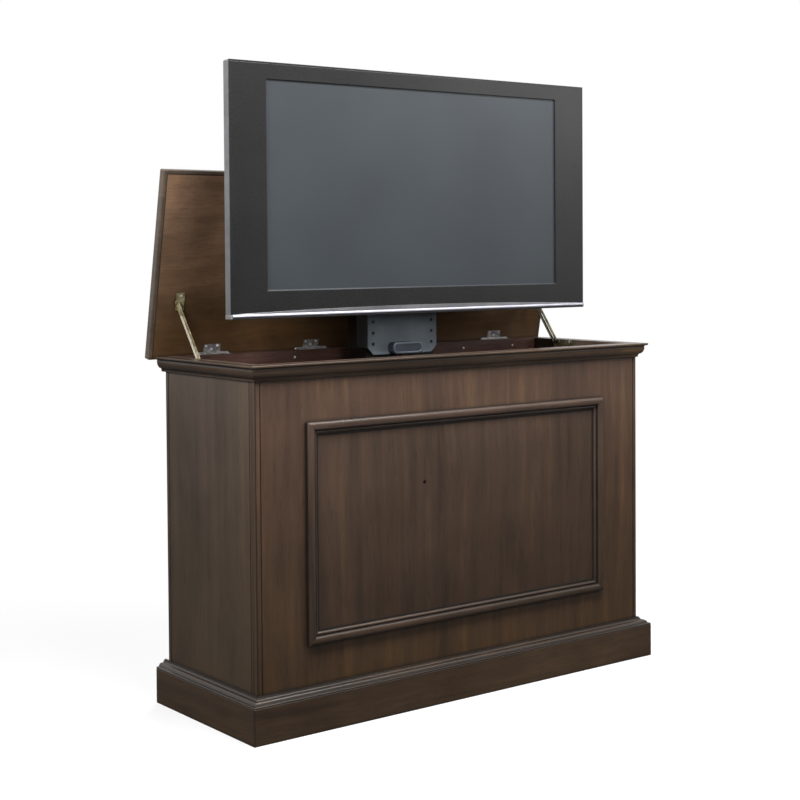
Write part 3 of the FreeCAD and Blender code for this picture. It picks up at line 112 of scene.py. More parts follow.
def stainedWood(name, ownLook):
    look = {**woodFilm, **ownLook}
    material, tree, shader = newMaterial(name)
    stretch = [look["alongGrain"] if axis == look["grain"] else 1 for axis in "xyz"]
    place = addNode(tree, "TexCoord").outputs["Object"]
    sway = addNode(tree, "TexNoise", {"Scale": 1000 / look["swayMm"], "Detail": 1.0}, {"Vector": place})
    swayed = addNode(tree, "VectorMath", {"operation": "MULTIPLY_ADD", 1: [look["swayBy"]] * 3},
                     {0: sway.outputs["Color"], 2: place})
    along = addNode(tree, "Mapping", {"Scale": stretch}, {"Vector": swayed.outputs[0]}).outputs[0]
    band = addNode(tree, "TexNoise", {"Scale": 1000 / look["bandMm"], "Detail": 2.0, "Roughness": 0.45},
                   {"Vector": along}).outputs["Fac"]
    streak = addNode(tree, "TexNoise", {"Scale": 1000 / look["streakMm"], "Detail": 5.0, "Roughness": 0.62},
                     {"Vector": along}).outputs["Fac"]
    pore = addNode(tree, "TexNoise", {"Scale": 1000 / look["poreMm"], "Detail": 2.0, "Roughness": 0.7},
                   {"Vector": along}).outputs["Fac"]
    cloud = addNode(tree, "TexNoise", {"Scale": 1000 / look["cloudMm"], "Detail": 3.0, "Roughness": 0.55},
                    {"Vector": place}).outputs["Fac"]
    bandPart = addNode(tree, "Math", {"operation": "MULTIPLY", 1: look["bandShare"]}, {0: band})
    streakPart = addNode(tree, "Math", {"operation": "MULTIPLY_ADD", 1: look["streakShare"]},
                         {0: streak, 2: bandPart.outputs[0]})
    figure = addNode(tree, "Math", {"operation": "MULTIPLY_ADD", 1: look["cloudShare"]},
                     {0: cloud, 2: streakPart.outputs[0]}).outputs[0]
    tint = addNode(tree, "ValToRGB", {"stops": look["tints"]}, {"Fac": figure})
    sunk = addNode(tree, "ValToRGB", {"stops": [(0.30, look["poreTint"]), (0.46, "#ffffff")]}, {"Fac": pore})
    grained = addNode(tree, "Mix", {"data_type": "RGBA", "blend_type": "MULTIPLY", 0: look["poreDark"]},
                      {6: tint.outputs["Color"], 7: sunk.outputs["Color"]}).outputs[2]
    # painted shade: darker in inner corners, where a dark glaze also lies, darker along outer edges, and darker on
    # tops that face up
    corner = addNode(tree, "AmbientOcclusion", {"samples": 5, "Distance": look["glazeShadeMm"] / 1000}).outputs["AO"]
    glazeShade = addNode(tree, "MapRange", {1: 0.45, 2: 0.92, 3: 0.85, 4: 0.0}, {0: corner}).outputs[0]
    flat = addNode(tree, "NewGeometry").outputs["Normal"]
    # painted shade on outer edges: within edgeMm of an edge the colour turns towards a dark tint
    rounded = addNode(tree, "Bevel", {"samples": 4, "Radius": look["edgeMm"] / 1000}).outputs[0]
    turn = addNode(tree, "VectorMath", {"operation": "DOT_PRODUCT"}, {0: flat, 1: rounded}).outputs["Value"]
    edge = addNode(tree, "MapRange", {1: 0.99, 2: 0.86, 3: 0.0, 4: look["edgeShade"]}, {0: turn}).outputs[0]
    shaded = addNode(tree, "Mix", {"data_type": "RGBA", 7: linear(look["edgeShadeTint"])},
                     {0: edge, 6: grained}).outputs[2]
    # painted shade on tops: faces that point up are darkened by topShade
    upward = addNode(tree, "SeparateXYZ", {}, {0: flat}).outputs["Z"]
    top = addNode(tree, "MapRange", {1: 0.90, 2: 0.99, 3: 1.0, 4: look["topShade"]}, {0: upward}).outputs[0]
    height = addNode(tree, "SeparateXYZ", {}, {0: place}).outputs["Z"]
    # painted shade: the colour darkens towards the bottom, by the foot tint
    low, high = look["footShadeAt"]  # heights in metres between which the foot's tint fades
    foot = addNode(tree, "MapRange", {1: low, 2: high, 3: 1.0, 4: 0.0}, {0: height}).outputs[0]
    footShaded = addNode(tree, "Mix", {"data_type": "RGBA", "blend_type": "MULTIPLY", 7: linear(look["footShadeTint"])},
                    {0: foot, 6: shaded}).outputs[2]
    topShaded = addNode(tree, "VectorMath", {"operation": "SCALE"}, {0: footShaded, 3: top}).outputs[0]
    colour = addNode(tree, "Mix", {"data_type": "RGBA", 7: linear(look["glazeShadeTint"])},
                     {0: glazeShade, 6: topShaded}).outputs[2]
    tree.links.new(colour, shader.inputs["Base Color"])
    smooth, rough = (look["roughness"] + change for change in look["glossSpread"])
    gloss = addNode(tree, "MapRange", {1: 0.3, 2: 0.7, 3: smooth, 4: rough}, {0: cloud})
    tree.links.new(gloss.outputs[0], shader.inputs["Roughness"])
    relief = addNode(tree, "Bump", {"Strength": look["reliefStrength"], "Distance": look["reliefM"]}, {"Height": pore})
    tree.links.new(relief.outputs["Normal"], shader.inputs["Normal"])
    shader.inputs["IOR"].default_value = look["ior"]
    shader.inputs["Coat Weight"].default_value = look["wax"]
    shader.inputs["Coat Roughness"].default_value = look["waxRoughness"]
    return material


# Streaks are drawn two or three times as wide as real, and pores about ten times, so that they show at this distance.
woodLooks = {
    # front veneer: quiet upright streaks, a few warm and light, under a thin grey sheen
    "stainedBirchVeneer": {
        "grain": "z", "bandMm": 90, "streakMm": 20, "poreMm": 2.4, "cloudMm": 210, "glazeShadeMm": 9, "bandShare": 0.34,
        "streakShare": 0.42, "cloudShare": 0.24, "poreDark": 0.42, "roughness": 0.42, "edgeMm": 5, "edgeShade": 0.75,
        "topShade": 1.0, "footShadeTint": "#d4ca9f", "wax": 0.10,
        "tints": [(0.38, "#42332a"), (0.47, "#4f3c30"), (0.535, "#564134"), (0.63, "#68503a")]},
    # side veneer: plainer and a shade greyer
    "greyBirchVeneer": {
        "grain": "z", "bandMm": 120, "streakMm": 26, "poreMm": 2.4, "cloudMm": 240, "glazeShadeMm": 9, "bandShare": 0.32,
        "streakShare": 0.38, "cloudShare": 0.30, "poreDark": 0.4, "roughness": 0.40, "edgeMm": 4, "edgeShade": 0.7,
        "topShade": 1.0, "footShadeTint": "#dcd6bf", "wax": 0.10,
        "tints": [(0.38, "#443830"), (0.48, "#4f4238"), (0.54, "#54463b"), (0.64, "#5e4d40")]},
    # raised panel mould: a cushion under wax, with painted shade towards its quirks
    "waxedBeech": {
        "grain": "x", "bandMm": 60, "streakMm": 16, "poreMm": 2.2, "cloudMm": 160, "glazeShadeMm": 9, "bandShare": 0.35,
        "streakShare": 0.40, "cloudShare": 0.25, "poreDark": 0.5, "roughness": 0.38, "edgeMm": 2, "edgeShade": 0.3,
        "topShade": 0.9, "footShadeTint": "#bdb49c", "wax": 0.12,
        "tints": [(0.37, "#3a2f27"), (0.47, "#473930"), (0.55, "#503f35"), (0.64, "#5d4a3b")]},
    # crown and base mould: grain along the run, grey-brown, with strong painted shade in every step and on its tops
    "glazeShadedBeech": {
        "grain": "x", "bandMm": 60, "streakMm": 16, "poreMm": 2.2, "cloudMm": 160, "glazeShadeMm": 11, "bandShare": 0.35,
        "streakShare": 0.40, "cloudShare": 0.25, "poreDark": 0.5, "roughness": 0.36, "edgeMm": 2, "edgeShade": 0.35,
        "topShade": 0.38, "footShadeTint": "#8b8170", "wax": 0.16,
        "tints": [(0.37, "#3b2f25"), (0.47, "#4a3b2f"), (0.55, "#554437"), (0.64, "#6e573f")]},
    # plinth boards: even and dark
    "stainedBeech": {
        "grain": "x", "bandMm": 70, "streakMm": 16, "poreMm": 2.2, "cloudMm": 180, "glazeShadeMm": 9, "bandShare": 0.35,
        "streakShare": 0.40, "cloudShare": 0.25, "poreDark": 0.5, "roughness": 0.42, "edgeMm": 6, "edgeShade": 0.7,
        "topShade": 0.8, "footShadeTint": "#dcd2c0", "wax": 0.12,
        "tints": [(0.37, "#3a2d23"), (0.47, "#48392d"), (0.55, "#524234"), (0.64, "#604d3a")]},
    # lid's inner face: cloudy, warm and clearer than the rest, with painted shade low down where the television shades
    # it
    "lacqueredBirchVeneer": {
        "grain": "x", "bandMm": 90, "streakMm": 20, "poreMm": 2.2, "cloudMm": 150, "glazeShadeMm": 7, "bandShare": 0.20,
        "streakShare": 0.28, "cloudShare": 0.52, "poreDark": 0.45, "roughness": 0.36, "edgeMm": 4, "edgeShade": 0.5,
        "topShade": 0.9, "footShadeTint": "#c8bd9f", "footShadeAt": (0.90, 1.14), "wax": 0.10,
        "tints": [(0.38, "#5c4837"), (0.47, "#6d5543"), (0.54, "#7a604c"), (0.64, "#94704f")]},
    # lid's edges: solid wood, greyer and darker
    "greyBeechLipping": {
        "grain": "y", "bandMm": 70, "streakMm": 14, "poreMm": 2.2, "cloudMm": 150, "glazeShadeMm": 6, "bandShare": 0.35,
        "streakShare": 0.40, "cloudShare": 0.25, "poreDark": 0.5, "roughness": 0.40, "edgeMm": 2.5, "edgeShade": 0.6,
        "topShade": 0.6, "footShadeTint": "#ffffff", "wax": 0.15,
        "tints": [(0.37, "#3e362e"), (0.47, "#4c4238"), (0.55, "#564a3f"), (0.64, "#655646")]},
    # inside of the carcass: stained board, dull
    "stainedPlywood": {
        "grain": "x", "bandMm": 90, "streakMm": 14, "poreMm": 2.4, "cloudMm": 200, "glazeShadeMm": 9, "bandShare": 0.35,
        "streakShare": 0.45, "cloudShare": 0.20, "poreDark": 0.6, "roughness": 0.55, "edgeMm": 3, "edgeShade": 0.4,
        "topShade": 0.8, "footShadeTint": "#e6e0d6", "wax": 0.0,
        "tints": [(0.37, "#2c1f18"), (0.48, "#3d2c24"), (0.56, "#483429"), (0.66, "#5a4232")]},
    # rear rail: red-brown stain on solid beech
    "redStainedBeech": {
        "grain": "x", "bandMm": 70, "streakMm": 14, "poreMm": 2.2, "cloudMm": 160, "glazeShadeMm": 7, "bandShare": 0.35,
        "streakShare": 0.40, "cloudShare": 0.25, "poreDark": 0.5, "roughness": 0.40, "edgeMm": 3, "edgeShade": 0.5,
        "topShade": 0.6, "footShadeTint": "#ffffff", "wax": 0.10,
        "tints": [(0.37, "#3d2621"), (0.47, "#4f352e"), (0.55, "#5b4038"), (0.64, "#6e5044")]},
}


# Finishes that differ from one above in a few values only: (its name, what changes).
nearWoodLooks = {
    # runs that go back or stand upright have the grain turned with them
    "glazeShadedBeechY": ("glazeShadedBeech", {"grain": "y"}),
    "waxedBeechZ": ("waxedBeech", {"grain": "z"}),
    # leaf in the framed field: a shade darker and browner
    "darkBirchVeneer": ("stainedBirchVeneer", {
        "footShadeTint": "#b8ac96", "edgeMm": 1,
        "tints": [(0.38, "#3b2e26"), (0.47, "#47382d"), (0.535, "#4e3c31"), (0.63, "#5d4936")]}),
    # top of the lid: unwaxed and dull, so that it throws no glare
    "dullBirchVeneerX": ("stainedBirchVeneer", {"grain": "x", "footShadeTint": "#ffffff", "wax": 0.0, "roughness": 0.56}),
    # corner beads: even along their round, with no painted edge shade, and painted corner shade only in the finest
    # corners
    "beadBirch": ("greyBirchVeneer", {"edgeShade": 0.0, "glazeShadeMm": 2.5}),
    "stainedBeechY": ("stainedBeech", {"grain": "y"}),
}
wood = {name: stainedWood(name, look) for name, look in woodLooks.items()}
for name, (base, changes) in nearWoodLooks.items():
    wood[name] = stainedWood(name, {**woodLooks[base], **changes})
print("wood finishes made:", len(wood))


# Metals: plated, drawn or ground.

def bareMetal(name, look):
    material, tree, shader = newMaterial(name)
    place = addNode(tree, "TexCoord").outputs["Object"]
    lines = addNode(tree, "Mapping", {"Scale": look["drawn"]}, {"Vector": place}).outputs[0]
    scratch = addNode(tree, "TexNoise", {"Scale": 1000 / look["lineMm"], "Detail": 3.0, "Roughness": 0.7},
                      {"Vector": lines}).outputs["Fac"]
    film = addNode(tree, "TexNoise", {"Scale": 1000 / look["filmMm"], "Detail": 4.0, "Roughness": 0.6},
                   {"Vector": place}).outputs["Fac"]
    tint = addNode(tree, "ValToRGB", {"stops": look["tints"]}, {"Fac": film})
    tree.links.new(tint.outputs["Color"], shader.inputs["Base Color"])
    low, high = look["roughness"]
    gloss = addNode(tree, "MapRange", {1: 0.3, 2: 0.7, 3: low, 4: high}, {0: scratch})
    tree.links.new(gloss.outputs[0], shader.inputs["Roughness"])
    relief = addNode(tree, "Bump", {"Strength": look["relief"], "Distance": 0.0001}, {"Height": scratch})
    tree.links.new(relief.outputs["Normal"], shader.inputs["Normal"])
    shader.inputs["Metallic"].default_value = look.get("metallic", 1.0)
    return material


# Drawn lines are some ten times as coarse as real, so that they show. Metallic below 1 is a dull film on the metal.
metalLooks = {
    # nickel plate on stamped steel: pale, with a dull film that keeps it from mirroring the dark lid
    "nickelPlate": {"drawn": (0.1, 1, 1), "lineMm": 0.6, "filmMm": 9, "roughness": (0.28, 0.42), "relief": 0.2,
                    "metallic": 0.55, "tints": [(0.38, "#7a7877"), (0.62, "#aaa7a5")]},
    # zinc plated screws: a little bluer and duller
    "zincPlate": {"drawn": (1, 1, 1), "lineMm": 0.5, "filmMm": 4, "roughness": (0.26, 0.40), "relief": 0.2,
                  "metallic": 0.5, "tints": [(0.35, "#c6c7c9"), (0.62, "#ececee")]},
    # antique brass under lacquer: olive and yellow-brown, darker where it isn't handled
    "antiqueBrass": {"drawn": (1, 1, 0.08), "lineMm": 0.7, "filmMm": 14, "roughness": (0.26, 0.40), "relief": 0.2,
                     "metallic": 0.5, "tints": [(0.38, "#7d7354"), (0.50, "#a89d78"), (0.62, "#cabf99")]},
    # the same brass, painted almost black as shade
    "shadedBrass": {"drawn": (1, 1, 0.08), "lineMm": 0.7, "filmMm": 14, "roughness": (0.24, 0.38), "relief": 0.2,
                  "metallic": 0.7, "tints": [(0.38, "#3a3526"), (0.50, "#5a523c"), (0.62, "#857a58")]},
    # the same brass, painted pale, almost cream, as a highlight
    "highlightBrass": {"drawn": (1, 1, 0.08), "lineMm": 0.7, "filmMm": 22, "roughness": (0.20, 0.32), "relief": 0.15,
                    "metallic": 0.4, "tints": [(0.35, "#ddd2b8"), (0.62, "#f4ead8")]},
    # drawn aluminium tube: satin, with fine lines along it
    "drawnAluminium": {"drawn": (1, 1, 0.05), "lineMm": 0.8, "filmMm": 30, "roughness": (0.30, 0.44), "relief": 0.3,
                       "tints": [(0.35, "#8d9093"), (0.62, "#b4b7ba")]},
    # ground and hard chromed rod: a mirror with faint rings
    "groundChrome": {"drawn": (0.1, 0.1, 1), "lineMm": 0.8, "filmMm": 25, "roughness": (0.10, 0.18), "relief": 0.1,
                     "tints": [(0.35, "#bfc1c3"), (0.62, "#d8dadc")]},
    # gold flashed contacts of the sockets
    "goldFlash": {"drawn": (1, 1, 1), "lineMm": 0.4, "filmMm": 5, "roughness": (0.2, 0.3), "relief": 0.1,
                  "tints": [(0.35, "#b08d4c"), (0.62, "#d5b36a")]},
}
metal = {name: bareMetal(name, look) for name, look in metalLooks.items()}


# Paints and plastics: a skin with its moulded or sprayed texture.

def coatedSkin(name, look):
    material, tree, shader = newMaterial(name)
    place = addNode(tree, "TexCoord").outputs["Object"]
    grit = addNode(tree, "TexNoise", {"Scale": 1000 / look["gritMm"], "Detail": 2.0, "Roughness": 0.55},
                   {"Vector": place}).outputs["Fac"]
    haze = addNode(tree, "TexNoise", {"Scale": 1000 / look["hazeMm"], "Detail": 3.0, "Roughness": 0.5},
                   {"Vector": place}).outputs["Fac"]
    tint = addNode(tree, "ValToRGB", {"stops": look["tints"]}, {"Fac": haze})
    tree.links.new(tint.outputs["Color"], shader.inputs["Base Color"])
    low, high = look["roughness"]
    gloss = addNode(tree, "MapRange", {1: 0.35, 2: 0.65, 3: low, 4: high}, {0: grit})
    tree.links.new(gloss.outputs[0], shader.inputs["Roughness"])
    deep = look["gritMm"] / 8000  # an eighth of the grit's width, in metres
    relief = addNode(tree, "Bump", {"Strength": look["relief"], "Distance": deep}, {"Height": grit})
    tree.links.new(relief.outputs["Normal"], shader.inputs["Normal"])
    shader.inputs["IOR"].default_value = look["ior"]
    shader.inputs["Metallic"].default_value = look.get("metallic", 0.0)
    shader.inputs["Coat Weight"].default_value = look.get("coat", 0.0)
    shader.inputs["Coat Roughness"].default_value = 0.12
    return material


# Moulded and sprayed grit is drawn about five times as coarse as real, so that it shows; orange peel is as real.
skinLooks = {
    # slate grey powder coat on the lift: faint orange peel, a broad soft shine, painted paler than the coat as light
    # where the television shades the plate
    "litSlatePowderCoat": {"gritMm": 2.4, "hazeMm": 60, "roughness": (0.42, 0.54), "relief": 0.35, "ior": 1.5,
                        "tints": [(0.35, "#727c84"), (0.65, "#7f8992")]},
    # black electro-coat on motor and gearbox
    "blackECoat": {"gritMm": 1.6, "hazeMm": 30, "roughness": (0.38, 0.5), "relief": 0.3, "ior": 1.5,
                   "tints": [(0.35, "#141415"), (0.65, "#1d1d1f")]},
    # black ABS of boxes, grommet and inlet: moulded with a fine grain
    "blackAbs": {"gritMm": 1.2, "hazeMm": 40, "roughness": (0.42, 0.55), "relief": 0.4, "ior": 1.53,
                 "tints": [(0.35, "#141415"), (0.65, "#1c1c1e")]},
    # the lift's nose cover: same ABS, moulded slate grey and smoother
    "slateAbs": {"gritMm": 1.6, "hazeMm": 30, "roughness": (0.30, 0.40), "relief": 0.2, "ior": 1.53,
                 "tints": [(0.35, "#2f333b"), (0.65, "#3a3e47")]},
    # smoked acrylic of the remote's eye
    "smokedAcrylic": {"gritMm": 3, "hazeMm": 8, "roughness": (0.06, 0.1), "relief": 0.05, "ior": 1.49,
                      "tints": [(0.35, "#0d0808"), (0.65, "#1a0e0c")]},
    # natural acetal pulleys, waxy
    "acetal": {"gritMm": 1.5, "hazeMm": 10, "roughness": (0.35, 0.45), "relief": 0.15, "ior": 1.48,
               "tints": [(0.35, "#1c1c1e"), (0.65, "#26262a")]},
    # belt rubber, dusty
    "beltRubber": {"gritMm": 1.0, "hazeMm": 12, "roughness": (0.65, 0.8), "relief": 0.4, "ior": 1.52,
                   "tints": [(0.35, "#131313"), (0.65, "#1f1f1f")]},
    # the television's front: semi-gloss charcoal plastic
    "charcoalPlastic": {"gritMm": 2.0, "hazeMm": 120, "roughness": (0.22, 0.29), "relief": 0.06, "ior": 1.52,
                        "tints": [(0.35, "#191919"), (0.65, "#1d1d1d")]},
    # the step under the screen: same plastic, satin, and painted greyer as a highlight line where it catches the light
    # from above
    "litCharcoalPlastic": {"gritMm": 1.6, "hazeMm": 160, "roughness": (0.36, 0.44), "relief": 0.08, "ior": 1.52,
                     "tints": [(0.35, "#2c2e31"), (0.65, "#393b3f")]},
    # silver lacquer on the television's edge: metal flake under clear
    "silverLacquer": {"gritMm": 1.2, "hazeMm": 60, "roughness": (0.28, 0.40), "relief": 0.1, "ior": 1.5,
                      "metallic": 0.45, "coat": 0.3, "tints": [(0.35, "#656568"), (0.65, "#78787b")]},
    # the lower trim's roll: finer flake, painted pale with a violet cast as a highlight
    "highlightLacquer": {"gritMm": 1.0, "hazeMm": 90, "roughness": (0.42, 0.52), "relief": 0.08, "ior": 1.5,
                      "metallic": 0.45, "tints": [(0.35, "#b1b0bb"), (0.65, "#c1c0cb")]},
    # corner caps: unpainted grey plastic
    "greyPolymer": {"gritMm": 1.2, "hazeMm": 30, "roughness": (0.34, 0.44), "relief": 0.1, "ior": 1.5,
                    "tints": [(0.35, "#6d6a68"), (0.65, "#7d7a78")]},
    # black coat of the stage and mast
    "satinBlack": {"gritMm": 0.9, "hazeMm": 90, "roughness": (0.36, 0.46), "relief": 0.12, "ior": 1.52,
                   "tints": [(0.35, "#15130f"), (0.65, "#1d1a16")]},
    # carriage channel: the plate's paint, painted darker as shade
    "shadedSlate": {"gritMm": 0.9, "hazeMm": 90, "roughness": (0.38, 0.48), "relief": 0.12, "ior": 1.52,
                    "tints": [(0.35, "#464b50"), (0.65, "#51575c")]},
    # rim of the carriage shell, painted paler as a highlight
    "rimHighlightAbs": {"gritMm": 0.9, "hazeMm": 40, "roughness": (0.26, 0.34), "relief": 0.1, "ior": 1.54,
                     "tints": [(0.35, "#494e58"), (0.65, "#565b65")]},
    # dark glaze, laid as painted shade in quirks, at feet and down shaded walls
    "shadeGlaze": {"gritMm": 1.4, "hazeMm": 40, "roughness": (0.5, 0.6), "relief": 0.1, "ior": 1.48,
                   "tints": [(0.35, "#140e0a"), (0.65, "#1e1611")]},
    # the same glaze wiped thin, as a line of painted shade
    "thinShadeGlaze": {"gritMm": 1.4, "hazeMm": 40, "roughness": (0.5, 0.6), "relief": 0.1, "ior": 1.48,
                  "tints": [(0.35, "#2a2019"), (0.65, "#352920")]},
    # rear cover: dark grey textured plastic
    "rearPlastic": {"gritMm": 1.6, "hazeMm": 90, "roughness": (0.46, 0.58), "relief": 0.5, "ior": 1.53,
                    "tints": [(0.35, "#1c1c1e"), (0.65, "#242426")]},
    # the unlit screen: a matt film over grey glass
    "matteGlass": {"gritMm": 1.5, "hazeMm": 300, "roughness": (0.30, 0.34), "relief": 0.03, "ior": 1.52,
                   "tints": [(0.35, "#2f3337"), (0.65, "#34393d")]},
    # coloured rings round the sound and picture sockets
    "redPolyethylene": {"gritMm": 1.0, "hazeMm": 6, "roughness": (0.35, 0.45), "relief": 0.1, "ior": 1.5,
                        "tints": [(0.35, "#8e1f1c"), (0.65, "#a32a26")]},
    "whitePolyethylene": {"gritMm": 1.0, "hazeMm": 6, "roughness": (0.35, 0.45), "relief": 0.1, "ior": 1.5,
                          "tints": [(0.35, "#c9c7c0"), (0.65, "#dddbd4")]},
    "yellowPolyethylene": {"gritMm": 1.0, "hazeMm": 6, "roughness": (0.35, 0.45), "relief": 0.1, "ior": 1.5,
                           "tints": [(0.35, "#b08f1d"), (0.65, "#c7a42a")]},
    # lens of the control box's lamp, unlit
    "greenLens": {"gritMm": 1.0, "hazeMm": 4, "roughness": (0.12, 0.2), "relief": 0.05, "ior": 1.49,
                  "tints": [(0.35, "#1f4a2a"), (0.65, "#2c6a3c")]},
}
skin = {name: coatedSkin(name, look) for name, look in skinLooks.items()}
print("metal, paint and plastic finishes made")


# Shapes: points are given in mm, and Blender gets metres.
shaping = {"weldM": 2e-6, "flatDegrees": 0.3, "cadEaseDegrees": 32, "ownEaseDegrees": 40, "sharpDegrees": 42,
           "easeSteps": 2, "leastCornerMm": 0.2}


def atMm(x, y, z):
    return Vector((x / 1000, y / 1000, z / 1000))


def facing(x, y, z, direction, spin=0):  # a place that looks along direction, spun by degrees
    turn = Vector((0, 0, 1)).rotation_difference(Vector(direction)).to_matrix().to_4x4()
    return Matrix.Translation(atMm(x, y, z)) @ turn @ Matrix.Rotation(math.radians(spin), 4, "Z")


def bridge(work, low, high):  # a band of faces between two rings of points
    count = len(low)
    return [work.faces.new((low[i], low[(i + 1) % count], high[(i + 1) % count], high[i])) for i in range(count)]


def addLoft(work, loops, finish=0, capped=True):  # a skin through rings of points
    rings = [[work.verts.new(point) for point in loop] for loop in loops]
    faces = []
    for low, high in zip(rings, rings[1:]):
        faces += bridge(work, low, high)
    if capped:
        faces += [work.faces.new(rings[0][::-1]), work.faces.new(rings[-1])]
    for face in faces:
        face.material_index = finish
    return faces


def turnedRings(place, profile, sides):  # rings round a place, for a profile of (radius, height)
    turns = [2 * math.pi * i / sides for i in range(sides)]
    return [[place @ atMm(radius * math.cos(turn), radius * math.sin(turn), height) for turn in turns]
            for radius, height in profile]


def addTurned(work, place, profile, finish=0, sides=24):
    addLoft(work, turnedRings(place, profile, sides), finish)


def roundedOutline(wide, high, corner, steps=4):  # corners of a rounded rectangle, about its middle
    outline = []
    for number, (sx, sy) in enumerate(((1, 1), (-1, 1), (-1, -1), (1, -1))):
        for step in range(steps + 1):
            angle = math.pi / 2 * (number + step / steps)
            outline.append((sx * (wide / 2 - corner) + corner * math.cos(angle),
                            sy * (high / 2 - corner) + corner * math.sin(angle)))
    return outline


def addPlate(work, place, size, rises, finish=0):  # size is (wide, high, corner); rises are (inset, height)
    wide, high, corner = size
    loops = []
    for inset, height in rises:
        left = max(corner - inset, shaping["leastCornerMm"])
        outline = roundedOutline(wide - 2 * inset, high - 2 * inset, left)
        loops.append([place @ atMm(x, y, height) for x, y in outline])
    addLoft(work, loops, finish)


def addUpright(work, look, side=1):  # a rounded plate that stands upright; its rings are (inset, y)
    loops = []
    for inset, y in look["rings"]:
        outline = roundedOutline(look["wideMm"] - 2 * inset, look["highMm"] - 2 * inset, look["cornerMm"] - inset,
                                 look["cornerSteps"])
        loops.append([atMm(side * (look["middleXMm"] + x), y, look["middleZMm"] + z) for x, z in outline])
    return addLoft(work, loops)


def meshFrom(work, name, *finishes):
    mesh = bpy.data.meshes.new(name)
    work.to_mesh(mesh)
    work.free()
    for finish in finishes:
        mesh.materials.append(finish)
    return mesh


def easeEdges(piece, easeMm, degrees):  # a fine bevel on each edge that turns by more than this
    ease = piece.modifiers.new("ease", "BEVEL")
    ease.width, ease.segments = easeMm / 1000, shaping["easeSteps"]
    ease.limit_method, ease.angle_limit = "ANGLE", math.radians(degrees)
    ease.harden_normals = True


def finishPiece(name, work, finishes, body, slot, *replaced, easeMm=0, smooth=True):
    bmesh.ops.recalc_face_normals(work, faces=work.faces)
    for face in work.faces:
        face.smooth = smooth
    mesh = meshFrom(work, name, *finishes)
    piece = newPiece(name, mesh, body, slot, *replaced)
    if easeMm:
        easeEdges(piece, easeMm, shaping["ownEaseDegrees"])
    if smooth:
        piece.modifiers.new("even", "WEIGHTED_NORMAL").keep_sharp = True
        mesh.set_sharp_from_angle(angle=math.radians(shaping["sharpDegrees"]))


def dress(nodeName, finish, easeMm):  # a CAD shape with real edges: welded, then eased by a bevel
    name, source = nodeName + "_dressed", frame["nodes"][nodeName]
    work = bmesh.new()
    work.from_mesh(source.data)
    bmesh.ops.remove_doubles(work, verts=work.verts, dist=shaping["weldM"])
    bmesh.ops.dissolve_limit(work, angle_limit=math.radians(shaping["flatDegrees"]), verts=work.verts,
                             edges=work.edges)
    for face in work.faces:
        face.smooth = True
        face.material_index = 0
    piece = newPiece(name, meshFrom(work, name, finish), source["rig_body"], slotOf[nodeName], nodeName)
    easeEdges(piece, easeMm, shaping["cadEaseDegrees"])
    piece.modifiers.new("even", "WEIGHTED_NORMAL").keep_sharp = True
    return piece


# CAD nodes dressed as they are: node, finish, and how far its edges are eased in mm.
dressed = [
    # carcass: veneered boards
    ("front_panel", wood["stainedBirchVeneer"], 0.6), ("side_panel_left", wood["greyBirchVeneer"], 0.6),
    ("side_panel_right", wood["greyBirchVeneer"], 0.6), ("bottom_panel", wood["stainedPlywood"], 0.5),
    ("back_panel", wood["stainedPlywood"], 0.5), ("rear_rail", wood["redStainedBeech"], 0.6),
    # crown, base and plinth: the mitres show as fine open lines
    ("crown_front", wood["glazeShadedBeech"], 0.7), ("crown_left", wood["glazeShadedBeechY"], 0.7),
    ("crown_right", wood["glazeShadedBeechY"], 0.7), ("crown_back", wood["glazeShadedBeech"], 0.5),
    ("base_moulding_front", wood["glazeShadedBeech"], 0.3), ("base_moulding_left", wood["glazeShadedBeechY"], 0.3),
    ("base_moulding_right", wood["glazeShadedBeechY"], 0.3), ("plinth_front", wood["stainedBeech"], 0.4),
    ("plinth_left", wood["stainedBeechY"], 0.4), ("plinth_right", wood["stainedBeechY"], 0.4),
    ("plinth_back", wood["stainedBeech"], 0.8),
    # hinges and stays
    ("hinge_rail_leaves", metal["nickelPlate"], 0.25), ("hinge_lid_leaves", metal["nickelPlate"], 0.25),
    ("hinge_pins", metal["zincPlate"], 0.4), ("stay_brackets", metal["antiqueBrass"], 0.4),
    ("stay_lid_brackets", metal["antiqueBrass"], 0.4), ("stay_bar_right", metal["shadedBrass"], 0.5),
    # lift and the fittings of the carcass
    ("mount_plate", skin["litSlatePowderCoat"], 0.5), ("carriage_channel", skin["shadedSlate"], 0.5),
    ("middle_stage", skin["satinBlack"], 0.5), ("mast", skin["satinBlack"], 0.5),
    ("mast_brace", skin["satinBlack"], 0.6), ("lift_base", skin["satinBlack"], 0.8),
    ("gearbox", skin["blackECoat"], 0.8), ("drive_motor", skin["blackECoat"], 1.0),
    ("actuator_tube", metal["drawnAluminium"], 0.6), ("actuator_rod", metal["groundChrome"], 0.8),
    ("pulley_axles", metal["groundChrome"], 0.4), ("mast_belt_clamp", metal["drawnAluminium"], 0.5),
    ("carriage_belt_clamp", metal["drawnAluminium"], 0.5), ("tv_rails", skin["litSlatePowderCoat"], 0.6),
    ("control_box", skin["blackAbs"], 0.5), ("power_switch", skin["blackAbs"], 0.5),
    ("cable_grommet", skin["blackAbs"], 0.8), ("mains_inlet", skin["blackAbs"], 0.4),
    ("ir_eye", skin["smokedAcrylic"], 0.6), ("belt_pulley_upper", skin["acetal"], 0.4),
    ("belt_pulley_lower", skin["acetal"], 0.4), ("drive_belt", skin["beltRubber"], 0.3),
    # television
    ("tv_front_frame", skin["charcoalPlastic"], 1.0), ("tv_screen", skin["matteGlass"], 0.3),
    ("tv_edge_band", skin["silverLacquer"], 0.4), ("tv_rear_cover", skin["rearPlastic"], 0.8),
]
for nodeName, finish, easeMm in dressed:
    dress(nodeName, finish, easeMm)
